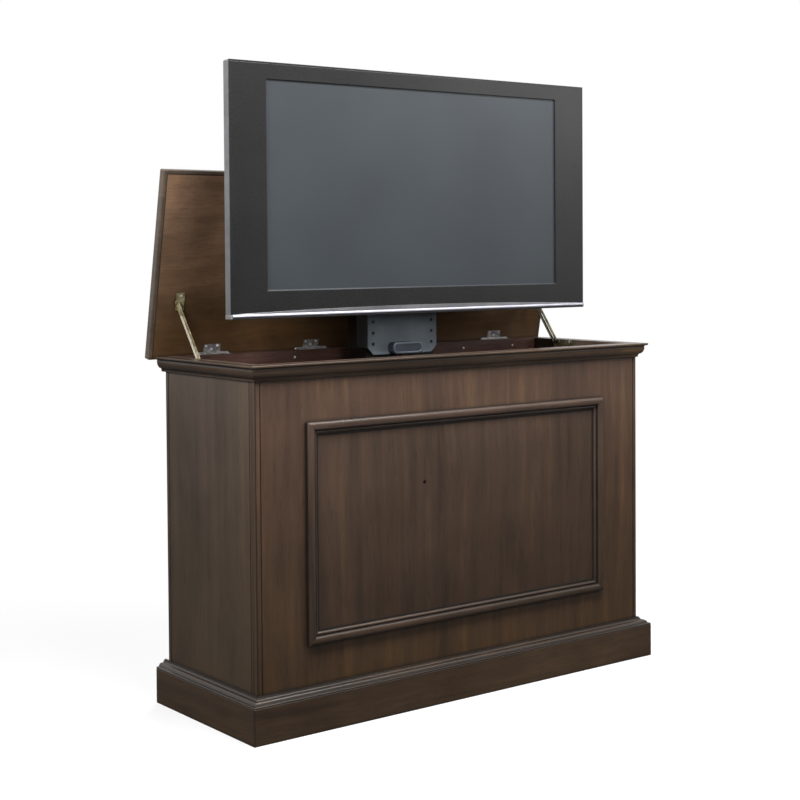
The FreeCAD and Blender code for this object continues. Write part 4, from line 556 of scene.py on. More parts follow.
print("eased pieces made:", len(dressed))

# The lid stands open; what is worked out on the shut lid is turned with it about the hinge line.
openLid = {"hingeYMm": 222.4, "hingeZMm": 850.5, "degrees": 79, "faceRise": 0.8, "easeMm": 0.4}


def shutLidTurned():  # from the shut lid's place to its open one
    hinge = atMm(0, openLid["hingeYMm"], openLid["hingeZMm"])
    turn = Matrix.Rotation(math.radians(-openLid["degrees"]), 4, "X")
    return Matrix.Translation(hinge) @ turn @ Matrix.Translation(-hinge)


def edgedLid():  # its edges are solid wood, its two faces veneered
    lid = dress("lid_panel", wood["lacqueredBirchVeneer"], openLid["easeMm"])
    lid.data.materials.append(wood["greyBeechLipping"])
    lid.data.materials.append(wood["dullBirchVeneerX"])
    shut = shutLidTurned().to_3x3().inverted()
    for face in lid.data.polygons:
        rise = (shut @ face.normal).z  # 1 on the top of the shut lid, -1 on its inner face, little on its edges
        face.material_index = 1 if abs(rise) < openLid["faceRise"] else 2 if rise > 0 else 0


edgedLid()

# Screws, one mesh for each body: a domed head with a cross recess, then the tapered shank, as (radius, height).
crossScrew = {"dome": [(3.55, -0.3), (3.266, 0.055), (2.485, 0.3575), (2.185, 0.55)],
              "shank": [(1.7, -1.2), (1.7, -9.6), (0.3, -12.6)], "sides": 28,
              "armMm": 1.9, "slotMm": 0.42, "rimMm": 0.45, "floorMm": -1.0, "floorShare": 0.6}
screwPlaces = {
    "hingeXMm": (-467, -168, 168, 467),
    "railLeaf": {"yMm": 209, "zMm": 850, "stepMm": 40.5},
    "lidLeaf": {"outerYMm": 203.9, "innerYMm": 212.9, "zMm": 851, "stepMm": 16.5},
    "stayBracket": {"xMm": 584.5, "yMm": (72.4, 32.9), "zMm": 843.875},
    "stayLidBracket": {"xMm": 568, "yMm": 87.64, "zMm": 848.5, "stepMm": 14.5},
    "liftBase": {"xMm": 137.5, "yMm": 107, "zMm": 24, "stepMm": 52.5},
}


def addCrossScrew(work, place, look):
    dome = [[work.verts.new(point) for point in ring] for ring in turnedRings(place, look["dome"], look["sides"])]
    slot, arm, share = look["slotMm"], look["armMm"], look["floorShare"]
    cross = [(slot, slot), (slot, arm), (-slot, arm), (-slot, slot), (-arm, slot), (-arm, -slot),
             (-slot, -slot), (-slot, -arm), (slot, -arm), (slot, -slot), (arm, -slot), (arm, slot)]
    rim = [work.verts.new(place @ atMm(x, y, look["rimMm"])) for x, y in cross]
    floor = [work.verts.new(place @ atMm(x * share, y * share, look["floorMm"])) for x, y in cross]
    for low, high in zip(dome, dome[1:]):
        bridge(work, low, high)
    edges = []
    for loop in (dome[-1], rim):
        for pair in zip(loop, loop[1:] + loop[:1]):
            edges.append(work.edges.get(pair) or work.edges.new(pair))
    bmesh.ops.triangle_fill(work, use_beauty=True, use_dissolve=False, edges=edges)
    bridge(work, floor, rim)
    work.faces.new(floor)
    back = dome[0]
    for ring in turnedRings(place, look["shank"], look["sides"]):
        ahead = [work.verts.new(point) for point in ring]
        bridge(work, ahead, back)
        back = ahead
    work.faces.new(back[::-1])


def screwPiece(name, places, body, replaced):
    work = bmesh.new()
    for place in places:
        addCrossScrew(work, place, crossScrew)
    finishPiece(name, work, [metal["zincPlate"]], body, slotOf[replaced], replaced, smooth=False)


def cabinetScrews():  # each screw has stopped at an angle of its own
    leaf, stay, base = screwPlaces["railLeaf"], screwPlaces["stayBracket"], screwPlaces["liftBase"]
    places = [facing(x + step * leaf["stepMm"], leaf["yMm"], leaf["zMm"], (0, 0, 1), 17 * number + 40 * step)
              for number, x in enumerate(screwPlaces["hingeXMm"]) for step in (-1, 0, 1)]
    for side in (-1, 1):
        places += [facing(side * stay["xMm"], y, stay["zMm"], (-side, 0, 0), 30 + y / 2) for y in stay["yMm"]]
        places += [facing(side * base["xMm"], base["yMm"] + step * base["stepMm"], base["zMm"], (0, 0, 1), 25 * step)
                   for step in (-1, 1)]
    screwPiece("cabinet_screws", places, "cabinet", "wood_screws")


def lidScrews():
    leaf, stay, turn = screwPlaces["lidLeaf"], screwPlaces["stayLidBracket"], shutLidTurned()
    rows = ((-1, leaf["outerYMm"]), (1, leaf["outerYMm"]), (0, leaf["innerYMm"]))
    places = [turn @ facing(x + step * leaf["stepMm"], y, leaf["zMm"], (0, 0, -1), 31 * number + 50 * step)
              for number, x in enumerate(screwPlaces["hingeXMm"]) for step, y in rows]
    places += [turn @ facing(side * stay["xMm"], stay["yMm"] + step * stay["stepMm"], stay["zMm"], (0, 0, -1),
                             20 * step) for side in (-1, 1) for step in (-1, 1)]
    screwPiece("lid_leaf_screws", places, "lid", "lid_screws")


cabinetScrews()
lidScrews()
dress("tv_bolts", metal["zincPlate"], 0.5)
print("screws made")

# Beads at the carcass corners with lines of painted shade beside them, and a strip that edges the back of each side.
carcassSide = {"outMm": 607, "frontMm": -203, "rearMm": 203, "lowMm": 103.6, "highMm": 812.4, "buriedMm": 0.5}
cornerBead = {"halfWideMm": 3.4, "proudMm": 1.9, "inMm": 6.4, "steps": 8}
rearStile = {"wideMm": 11.0, "proudMm": 1.0, "easeMm": 0.5}
shadeLine = {"halfWideMm": 0.9, "proudMm": 0.12, "buriedMm": 0.4}


def beadSection():
    face, middle, half = carcassSide["outMm"], carcassSide["frontMm"] + cornerBead["inMm"], cornerBead["halfWideMm"]
    turns = [math.pi * step / cornerBead["steps"] for step in range(cornerBead["steps"] + 1)]
    section = [(face + cornerBead["proudMm"] * math.sin(turn), middle - half * math.cos(turn)) for turn in turns]
    inside = face - carcassSide["buriedMm"]
    return section + [(inside, middle + half), (inside, middle - half)]


def stileSection():
    rear, start, ease = carcassSide["rearMm"], carcassSide["rearMm"] - rearStile["wideMm"], rearStile["easeMm"]
    out, inside = carcassSide["outMm"] + rearStile["proudMm"], carcassSide["outMm"] - carcassSide["buriedMm"]
    return [(inside, start), (out - ease, start), (out, start + ease), (out, rear - ease), (out - ease, rear),
            (inside, rear)]


def shadeLineSections():  # one line before the bead, one behind it and one before the strip
    half, bead = shadeLine["halfWideMm"], carcassSide["frontMm"] + cornerBead["inMm"]
    low, high = carcassSide["outMm"] - shadeLine["buriedMm"], carcassSide["outMm"] + shadeLine["proudMm"]
    middles = (bead - cornerBead["halfWideMm"] - half, bead + cornerBead["halfWideMm"] + half,
               carcassSide["rearMm"] - rearStile["wideMm"] - half)
    return [[(low, y - half), (high, y - half), (high, y + half), (low, y + half)] for y in middles]


def carcassBeads():
    work = bmesh.new()
    strips = [(section, 1) for section in shadeLineSections()] + [(beadSection(), 0), (stileSection(), 0)]
    for side in (-1, 1):
        for section, finish in strips:
            addLoft(work, [[atMm(side * x, y, z) for x, y in section]
                           for z in (carcassSide["lowMm"], carcassSide["highMm"])], finish)
    finishPiece("corner_beads", work, [wood["beadBirch"], skin["shadeGlaze"]], "cabinet", slotOf["side_panel_left"])


# Lipping round the lid's inner face with a line of painted shade inside it, both open at the hinge, on the shut lid.
lidLip = {"sideMm": 643, "frontMm": -236, "rearMm": 226, "faceMm": 851, "buriedMm": 0.3, "inMm": 1.6, "wideMm": 7.0,
          "proudMm": 0.7, "easeMm": 0.4, "dropMm": 0.3}
lidShadeLine = {"wideMm": 2.4, "proudMm": 0.12}


def aroundLid(name, finish, inMm, section):  # a strip round three sides; its section is (inward, z)
    work = bmesh.new()
    turn = shutLidTurned()
    outer, front = lidLip["sideMm"] - inMm, lidLip["frontMm"] + inMm
    route = [(-1, lidLip["rearMm"]), (-1, None), (1, None), (1, lidLip["rearMm"])]
    addLoft(work, [[turn @ atMm(side * (outer - inward), front + inward if y is None else y, z)
                    for inward, z in section] for side, y in route])
    finishPiece(name, work, [finish], "lid", slotOf["lid_panel"])


def lidLipping():
    wide, ease, top, low = (lidLip["wideMm"], lidLip["easeMm"], lidLip["faceMm"] + lidLip["buriedMm"],
                            lidLip["faceMm"] - lidLip["proudMm"])
    side = low + lidLip["dropMm"]
    aroundLid("lid_lipping", wood["greyBeechLipping"], lidLip["inMm"],
              [(0, top), (0, side), (ease, low), (wide - ease, low), (wide, side), (wide, top)])
    face = lidLip["faceMm"] - lidShadeLine["proudMm"]
    aroundLid("lid_shade_line", skin["thinShadeGlaze"], lidLip["inMm"] + wide,
              [(0, top), (0, face), (lidShadeLine["wideMm"], face), (lidShadeLine["wideMm"], top)])


# The framed field of the front panel has its own leaf of veneer.
panelField = {"wideMm": 886, "highMm": 455, "middleXMm": 0, "middleZMm": 454.5, "cornerMm": 1.0, "cornerSteps": 2,
              "rings": [(0, -202.5), (0, -203.35)]}


def framedPanel():
    work = bmesh.new()
    addUpright(work, panelField)
    finishPiece("framed_panel_veneer", work, [wood["darkBirchVeneer"]], "cabinet", slotOf["front_panel"])


# The frame's section as (out, proud, finish of the run that starts there): foot, bead, quirk, cushion, wall.
frameStick = {"innerXMm": 441, "innerLowMm": 228.9, "innerHighMm": 680, "behindMm": 203, "section": [
    (-1.6, 0.0, 1), (-1.6, 0.8, 1), (3.3, 1.0, 1), (3.7, 2.2, 0), (4.4, 3.6, 0), (5.5, 4.8, 0), (7.0, 5.6, 0),
    (8.8, 5.7, 0), (10.2, 5.2, 0), (11.0, 4.5, 1), (12.1, 4.3, 1), (12.7, 5.2, 1), (13.3, 9.0, 0), (14.2, 11.0, 0),
    (16.0, 12.1, 0), (18.5, 12.6, 0), (21.5, 12.9, 0), (24.5, 13.0, 0), (27.0, 12.7, 0), (29.2, 11.7, 0),
    (30.8, 10.1, 0), (31.7, 8.3, 1), (32.0, 6.6, 1), (32.0, 0.6, 1), (33.3, 0.4, 1), (33.3, 0.0, 1)]}


def frameSticks():  # four mitred sticks, with dark glaze as painted shade in the quirk, at the foot and down the outer wall
    look = frameStick
    low, high = look["innerLowMm"], look["innerHighMm"]
    for name, finish in (("top", "waxedBeech"), ("bottom", "waxedBeech"), ("left", "waxedBeechZ"),
                         ("right", "waxedBeechZ")):
        loops = []
        for end in (-1, 1):
            sx, sz = {"top": (end, 1), "bottom": (end, -1), "left": (-1, end), "right": (1, end)}[name]
            loops.append([atMm(sx * (look["innerXMm"] + out), -(look["behindMm"] + proud),
                               high + out if sz > 0 else low - out) for out, proud, _ in look["section"]])
        work = bmesh.new()
        for face, (_, _, run) in zip(addLoft(work, loops), look["section"]):
            face.material_index = run
        node = "panel_moulding_" + name
        finishPiece(node + "_run", work, [wood[finish], skin["shadeGlaze"]], "cabinet", slotOf[node], node)


carcassBeads()
lidLipping()
framedPanel()
frameSticks()
print("beads, lipping and panel frame made")

# Lid stays: domed pin heads and one side of the left bar, both painted pale as a highlight, and the right bar's folds.
# A pin is (x of its head's inner face, y, z) at the right; the left one mirrors it.
stayPins = {"low": (579.0, 87.4, 846.5), "lid": (578, 187.849, 981.074),
            "dome": [(4.4, -0.2), (4.4, 0.15), (3.9, 0.75), (2.7, 1.25), (1.2, 1.5), (0.1, 1.55)]}
leftBar = {"easeMm": 0.5, "highlightFromMm": 36, "snapM": 1e-6}
# The right bar is a folded channel, deeper than the left one; its flanges stand round the pin's head.
# Rings are (x, half width), over the flange and down its inner wall, and one band of them is painted lighter as a
# highlight.
rightBar = {"startMm": 25, "endMm": 168, "arcSteps": 10, "highlightBand": 4, "mergeM": 1e-6, "rings": [
    (583.9, 7.15), (577.1, 7.15), (576.5, 6.6), (576.5, 5.2), (576.9, 4.8), (583.9, 4.8), (583.9, 7.15)]}
railStuds = {"xMm": (-478, -246, 318, 500), "yMm": 178, "zMm": 832,
             "profile": [(3.4, -0.4), (3.4, 0.3), (3.0, 0.9), (1.6, 1.4), (0.1, 1.5)]}


def stayDomes():
    for name, end, body, bracket in (("stay_low_domes", "low", "cabinet", "stay_brackets"),
                                     ("stay_lid_domes", "lid", "lid", "stay_lid_brackets")):
        work = bmesh.new()
        x, y, z = stayPins[end]
        for side in (-1, 1):
            addTurned(work, facing(side * x, y, z, (-side, 0, 0)), stayPins["dome"])
        finishPiece(name, work, [metal["highlightBrass"]], body, slotOf[bracket])


def stayLine():  # the lid pin in metres, and the directions along the bars and across them
    pin, low = (atMm(0, *stayPins[end][1:]) for end in ("lid", "low"))
    run = (low - pin).normalized()
    return pin, run, Vector((0, -run.z, run.y))


def twoSidedBar():  # the rear half of the left bar is painted pale as a highlight, from a little below its pin
    bar = dress("stay_bar_left", metal["antiqueBrass"], leftBar["easeMm"])
    bar.data.materials.append(metal["highlightBrass"])
    pin, run, across = stayLine()
    start = leftBar["highlightFromMm"] / 1000
    work = bmesh.new()
    work.from_mesh(bar.data)
    for point, normal in ((pin, across), (pin + start * run, run)):
        bmesh.ops.bisect_plane(work, geom=work.verts[:] + work.edges[:] + work.faces[:], dist=leftBar["snapM"],
                               plane_co=point, plane_no=normal)
    for face in work.faces:
        middle = face.calc_center_median() - pin
        face.material_index = int(middle.dot(across) > 0 and middle.dot(run) > start)
    work.to_mesh(bar.data)
    work.free()


def foldedBar():
    look = rightBar
    pin, run, across = stayLine()
    loops = []
    for x, half in look["rings"]:  # round-ended outlines
        loop = []
        for middle, turn in ((look["endMm"], -90), (look["startMm"], 90)):
            for step in range(look["arcSteps"] + 1):
                angle = math.radians(turn + 180 * step / look["arcSteps"])
                along, aside = middle + half * math.cos(angle), half * math.sin(angle)
                point = pin + along / 1000 * run + aside / 1000 * across
                loop.append(Vector((x / 1000, point.y, point.z)))
        loops.append(loop)
    work = bmesh.new()
    faces = addLoft(work, loops, capped=False)
    around, band = len(loops[0]), look["highlightBand"]
    for face in faces[band * around:(band + 1) * around]:
        face.material_index = 1
    bmesh.ops.remove_doubles(work, verts=work.verts, dist=look["mergeM"])
    finishPiece("stay_bar_right_folds", work, [metal["shadedBrass"], metal["antiqueBrass"]], "stay_right",
                slotOf["stay_bar_right"])


def railStudPieces():
    work = bmesh.new()
    for x in railStuds["xMm"]:
        addTurned(work, facing(x, railStuds["yMm"], railStuds["zMm"], (0, -1, 0)), railStuds["profile"])
    finishPiece("rail_studs", work, [metal["zincPlate"]], "cabinet", slotOf["wood_screws"])


stayDomes()
twoSidedBar()
foldedBar()
railStudPieces()
print("stay details made")

# Television front: charcoal lip over the band, step under the screen, lower trim and corner caps.
tvLip = {"innerMm": 564.6, "outerMm": 568.8, "lowMm": 952, "innerTopMm": 1547.6, "outerTopMm": 1551.8,
         "frontMm": -39.9, "backMm": -38.3, "easeMm": 0.2}
screenStep = {"halfMm": 465.4, "lowMm": 1010.6, "highMm": 1013.2, "frontMm": -39.7, "backMm": -35.2,
              "riseMm": 0.3, "levelMm": 0.4}
# The trim bows upwards: its crest follows the bow as (out, up), and its roll under the crease, painted bright as a
# highlight, doesn't.
lowerTrim = {"halfMm": 565, "stations": 48, "frontMm": -40, "endTopMm": 957.4, "middleTopMm": 967.0,
             "crest": [(0.0, 0.0), (0.5, 0.0), (0.9, -0.4)], "crease": (1.3, 957.2),
             "roll": [(0.8, 956.9), (1.9, 956.2), (3.0, 954.9), (3.6, 953.2), (3.6, 951.7), (2.9, 950.3),
                      (1.6, 949.4), (0.0, 949.2)]}
trimShadow = {"halfMm": 564.8, "lowMm": 945.2, "highMm": 949.4, "frontMm": -41.4, "backMm": -38.6, "easeMm": 0.6}
cornerCap = {"wideMm": 5.8, "highMm": 11.7, "middleXMm": 567.1, "middleZMm": 950.65, "cornerMm": 2.6,
             "cornerSteps": 4, "rings": [(2.2, -42.4), (1.0, -41.9), (0.2, -40.8), (0, -39.4), (0, -17.0),
                                         (0.8, -16.0)]}


def tvFrontLip():  # a square strip up one side, over the top and down the other
    look = tvLip
    loops = []
    for side, z in ((-1, look["lowMm"]), (-1, None), (1, None), (1, look["lowMm"])):
        loop = []
        for edge, y in (("inner", "backMm"), ("inner", "frontMm"), ("outer", "frontMm"), ("outer", "backMm")):
            loop.append(atMm(side * look[edge + "Mm"], look[y], look[edge + "TopMm"] if z is None else z))
        loops.append(loop)
    work = bmesh.new()
    addLoft(work, loops)
    finishPiece("tv_front_lip", work, [skin["charcoalPlastic"]], "carriage", slotOf["tv_front_frame"],
                easeMm=look["easeMm"])


def addAcross(work, halfMm, section):  # a straight bar across the television; its section is (y, z)
    addLoft(work, [[atMm(x, y, z) for y, z in section] for x in (-halfMm, halfMm)])


def screenStepPiece():
    look = screenStep
    front, back, low, high = look["frontMm"], look["backMm"], look["lowMm"], look["highMm"]
    work = bmesh.new()
    addAcross(work, look["halfMm"], [(front, low), (front, low + look["riseMm"]), (back - look["levelMm"], high),
                                     (back, high), (back, low)])
    finishPiece("screen_step", work, [skin["litCharcoalPlastic"]], "carriage", slotOf["tv_front_frame"])


def lowerTrimPiece():
    look = lowerTrim
    loops = []
    for station in range(look["stations"] + 1):
        across = 2 * station / look["stations"] - 1
        top = look["endTopMm"] + (look["middleTopMm"] - look["endTopMm"]) * (1 - across ** 2)
        section = [(out, top + up) for out, up in look["crest"]] + [look["crease"]] + look["roll"]
        loops.append([atMm(across * look["halfMm"], look["frontMm"] - out, z) for out, z in section])
    work = bmesh.new()
    for face in addLoft(work, loops)[:-2]:
        face.material_index = int(face.calc_center_median().z < look["crease"][1] / 1000)
    finishPiece("tv_lower_trim_lofted", work, [skin["silverLacquer"], skin["highlightLacquer"]], "carriage",
                slotOf["tv_lower_trim"], "tv_lower_trim")


def trimShadowGap():
    look = trimShadow
    front, back, low, high, ease = (look[key] for key in ("frontMm", "backMm", "lowMm", "highMm", "easeMm"))
    work = bmesh.new()
    addAcross(work, look["halfMm"], [(back, low), (front + ease, low), (front, low + ease), (front, high),
                                     (back, high)])
    finishPiece("tv_trim_shadow_gap", work, [skin["blackAbs"]], "carriage", slotOf["tv_front_frame"])


def cornerCaps():
    work = bmesh.new()
    for side in (-1, 1):
        addUpright(work, cornerCap, side)
    finishPiece("tv_corner_caps", work, [skin["greyPolymer"]], "carriage", slotOf["tv_edge_band"])


tvFrontLip()
screenStepPiece()
lowerTrimPiece()
trimShadowGap()
cornerCaps()
print("television front made")

# Television rear. Plates are (wide, high, corner), and their rises (inset, height) from the cover's flat back.
rearFlatMm = 23.5
socketPanels = {"places": [(250, 1105, (210, 74, 6)), (-260, 1105, (74, 52, 5))],
                "rises": [(0, -0.6), (0, 0.9), (0.5, 1.4), (2.6, 1.4), (3.2, 0.5)]}
pictureSockets = {"xMm": (184, 211, 238), "zMm": 1123, "shell": (16, 6.6, 1.6), "mouth": (12, 1.6, 0.5),
                  "shellRises": [(0, 0.2), (0, 1.9), (0.7, 1.9), (0.8, 0.6)], "mouthRises": [(0, 0.4), (0, 1.7)]}
computerSocket = {"xMm": (292,), "zMm": 1122, "shell": (32, 12, 5.5), "mouth": (20, 5.5, 2.2),
                  "shellRises": [(0, 0.2), (0, 2.4), (0.8, 2.4), (0.9, 0.8)], "mouthRises": [(0, 0.4), (0, 1.6)]}
aerialSocket = {"xMm": 334, "zMm": 1090, "profile": [(5.0, 0.2), (5.0, 2.6), (4.2, 2.6), (4.2, 6.6), (3.6, 7.2),
                                                     (1.4, 7.2), (1.2, 5.5), (0.2, 5.4)]}
roundSockets = {"xMm": 168, "stepMm": 23, "zMm": 1089, "colours": (0, 1, 2, 0, 1, 2, 1),
                "finishes": ("yellowPolyethylene", "whitePolyethylene", "redPolyethylene"),
                "ring": [(7.2, 0.2), (7.2, 1.9), (6.7, 2.3), (5.0, 2.3), (4.8, 0.8), (0.2, 0.7)],
                "sleeve": [(4.3, 0.6), (4.3, 5.0), (3.9, 5.4), (1.8, 5.4), (1.6, 3.0), (0.2, 2.9)]}
mainsSocket = {"xMm": -260, "zMm": 1105, "frame": (30, 22, 3.4), "pin": (2, 4.5, 0.5),
               "frameRises": [(0, 0.3), (0, 2.2), (1.2, 2.2), (1.4, 0.7)], "pinRises": [(0, 0.6), (0, 2.0)],
               "pinsMm": ((-7, -1.4), (0, 2.6), (7, -1.4))}
rearScrews = {"xMm": (-455, -305, 305, 455), "zMm": (1040, 1250, 1455), "sunkMm": 0.3, "profile":
              [(5.2, 0.0), (5.2, 0.9), (4.6, 1.5), (2.4, 1.7), (2.2, 0.6), (0.2, 0.5)]}
speakerRibs = {"xMm": (-395, 395), "zMm": 1036, "count": 16, "pitchMm": 8.0, "rib": (3.2, 13, 1.5),
               "rises": [(0, -0.4), (0, 0.7), (0.5, 1.3)]}


def behind(x, z, out=0.0):  # a place on the rear cover's flat back, looking out of it
    turn = Matrix(((-1, 0, 0), (0, 0, 1), (0, 1, 0))).to_4x4()
    return Matrix.Translation(atMm(x, rearFlatMm + out, z)) @ turn


def rearPiece(name, work, *finishes):
    finishPiece(name, work, finishes, "carriage", slotOf["tv_rear_cover"])


def socketPanelPlates():
    work = bmesh.new()
    for x, z, size in socketPanels["places"]:
        addPlate(work, behind(x, z), size, socketPanels["rises"])
    rearPiece("tv_socket_panel", work, skin["blackAbs"])


def shieldedSockets():  # nickel shells with a dark mouth, and the aerial's sleeve
    work = bmesh.new()
    for look in (pictureSockets, computerSocket):
        for x in look["xMm"]:
            addPlate(work, behind(x, look["zMm"]), look["shell"], look["shellRises"])
            addPlate(work, behind(x, look["zMm"]), look["mouth"], look["mouthRises"], 1)
    addTurned(work, behind(aerialSocket["xMm"], aerialSocket["zMm"]), aerialSocket["profile"])
    rearPiece("tv_shielded_sockets", work, metal["nickelPlate"], skin["blackAbs"])


def roundSocketRings():  # sound and picture rings with a gold sleeve in each
    look = roundSockets
    work = bmesh.new()
    for number, colour in enumerate(look["colours"]):
        place = behind(look["xMm"] + look["stepMm"] * number, look["zMm"])
        addTurned(work, place, look["ring"], colour)
        addTurned(work, place, look["sleeve"], len(look["finishes"]))
    rearPiece("tv_round_sockets", work, *(skin[name] for name in look["finishes"]), metal["goldFlash"])


def mainsSocketPiece():
    look = mainsSocket
    work = bmesh.new()
    addPlate(work, behind(look["xMm"], look["zMm"]), look["frame"], look["frameRises"])
    for x, z in look["pinsMm"]:
        addPlate(work, behind(look["xMm"] + x, look["zMm"] + z), look["pin"], look["pinRises"], 1)
    rearPiece("tv_mains_socket", work, skin["blackECoat"], metal["nickelPlate"])


def coverScrews():
    work = bmesh.new()
    for x in rearScrews["xMm"]:
        for z in rearScrews["zMm"]:
            addTurned(work, behind(x, z, -rearScrews["sunkMm"]), rearScrews["profile"])
    rearPiece("tv_cover_screws", work, metal["nickelPlate"])


def speakerRibRows():
    look = speakerRibs
    work = bmesh.new()
    for middle in look["xMm"]:
        for number in range(look["count"]):
            x = middle + look["pitchMm"] * (number - (look["count"] - 1) / 2)
            addPlate(work, behind(x, look["zMm"]), look["rib"], look["rises"])
    rearPiece("tv_speaker_ribs", work, skin["rearPlastic"])


socketPanelPlates()
shieldedSockets()
roundSocketRings()
mainsSocketPiece()
coverScrews()
speakerRibRows()
print("television rear made")

# Lift: the carriage's cover, bolts on the middle stage, the motor's cap, and the control box's sockets and lamp.
carriageShell = {"wideMm": 96, "highMm": 31, "middleXMm": 0, "middleZMm": 853.5, "cornerMm": 12.5, "cornerSteps": 6,
                 "rimFromMm": 20.8, "rings": [(0, 43), (0, 21.0), (0.5, 19.4), (1.8, 18.3), (3.4, 18.0), (4.8, 18.0),
                                              (5.6, 18.9), (6.2, 19.0)]}
stageBolts = {"xMm": 80, "zMm": (470, 640, 810, 980, 1095), "rearMm": 134.9, "sides": 18,
              "profile": [(4.2, -0.3), (4.2, 0.5), (3.7, 1.6), (2.3, 2.3), (1.9, 2.35), (1.7, 1.0), (0.1, 0.9)]}
motorCap = {"placeMm": (44, 107, 179), "sides": 32, "profile": [(17.5, -0.6), (17.5, -0.2), (16.9, 0.4), (6, 0.5),
                                                                (5.6, 1.6), (4.8, 2.0), (0.2, 2.1)]}
controlBox = {"frontMm": 120, "portXMm": (255, 279, 303, 327), "portZMm": 36, "port": (15, 13, 1.2),
              "portRises": [(0, -0.3), (0, 0.9), (1.0, 0.9), (1.2, 0.2)], "pin": (0.8, 5, 0.3),
              "pinRises": [(0, 0.1), (0, 0.5)], "pinXMm": (-2.7, -0.9, 0.9, 2.7), "pinUpMm": 2,
              "lampXMm": 354, "lampZMm": 42, "lamp": [(2.6, -0.3), (2.6, 0.6), (2.1, 1.4), (1.0, 2.0), (0.1, 2.1)]}


def carriageCover():  # moulded shell with a raised rim round its face, the rim painted paler as a highlight
    work = bmesh.new()
    for face in addUpright(work, carriageShell)[:-2]:
        face.material_index = int(face.calc_center_median().y < carriageShell["rimFromMm"] / 1000)
    finishPiece("carriage_cover_shell", work, [skin["slateAbs"], skin["rimHighlightAbs"]], "carriage",
                slotOf["carriage_cover"], "carriage_cover")


def stageBoltRows():
    look = stageBolts
    work = bmesh.new()
    for z in look["zMm"]:
        for side in (-1, 1):
            addTurned(work, facing(side * look["xMm"], look["rearMm"], z, (0, 1, 0)), look["profile"],
                      sides=look["sides"])
    finishPiece("stage_bolts", work, [metal["zincPlate"]], "middle", slotOf["middle_stage"])


def motorCapPiece():
    work = bmesh.new()
    addTurned(work, facing(*motorCap["placeMm"], (0, 0, 1)), motorCap["profile"], sides=motorCap["sides"])
    finishPiece("motor_cap", work, [metal["zincPlate"]], "cabinet", slotOf["drive_motor"])


def controlBoxSockets():  # four sockets with gold pins, then the lamp
    look = controlBox
    turn = Matrix(((1, 0, 0), (0, 0, -1), (0, 1, 0))).to_4x4()
    work = bmesh.new()
    for x in look["portXMm"]:
        place = Matrix.Translation(atMm(x, look["frontMm"], look["portZMm"])) @ turn
        addPlate(work, place, look["port"], look["portRises"])
        for pinX in look["pinXMm"]:
            addPlate(work, place @ Matrix.Translation(atMm(pinX, look["pinUpMm"], 0)), look["pin"],
                     look["pinRises"], 1)
    lamp = Matrix.Translation(atMm(look["lampXMm"], look["frontMm"], look["lampZMm"])) @ turn
    addTurned(work, lamp, look["lamp"], 2)
    finishPiece("control_box_sockets", work, [skin["blackECoat"], metal["goldFlash"], skin["greenLens"]],
                "cabinet", slotOf["control_box"])


carriageCover()
stageBoltRows()
motorCapPiece()
controlBoxSockets()
print("lift details made")

# Floor, lamps, world and camera, in metres.
paleFloor = {"seen": "#fafafa", "bounced": "#565656", "roughness": 0.9, "fadeFrom": 0.7, "fadeTo": 2.2,
             "nearGlow": 0.6, "half": 14, "below": 0.0006}
studio = {"softLight": 0.09, "darkRoom": 0.12, "whiteWay": (0.62, 0.74, 0.26), "roomTo": -0.38, "whiteFrom": 0.03}
# A lamp without glare lights the object but isn't mirrored in it.
softBoxes = {
    "topKey": {"at": (0.15, -1.05, 2.45), "aim": (0, -0.15, 0.9), "size": (1.9, 0.6), "watts": 63, "glare": True},
    "leftKey": {"at": (-2.05, -0.85, 2.25), "aim": (-0.55, -0.05, 0.85), "size": (0.9, 0.9), "watts": 65,
                "glare": True},
    "frontFill": {"at": (-0.5, -2.7, 1.55), "aim": (0, 0, 1.15), "size": (1.6, 1.0), "watts": 10, "glare": True},
    "rightGlow": {"at": (2.5, -2.2, 2.0), "aim": (0.3, 0, 1.3), "size": (1.2, 1.0), "watts": 3.5, "glare": True},
    "rightFill": {"at": (2.5, -2.0, 1.9), "aim": (0.4, 0.1, 1.0), "size": (1.2, 1.0), "watts": 16, "glare": False},
    "backFill": {"at": (1.9, 2.4, 2.0), "aim": (0.2, 0.1, 0.75), "size": (1.8, 1.4), "watts": 100, "glare": False},
}
shot = {"place": (-2.4653, -3.1541, 1.1027), "yaw": 37.5455, "down": 1.7935, "roll": -0.389, "lensMm": 70.07,
        "sensorMm": 36, "shift": -0.125, "farM": 60}


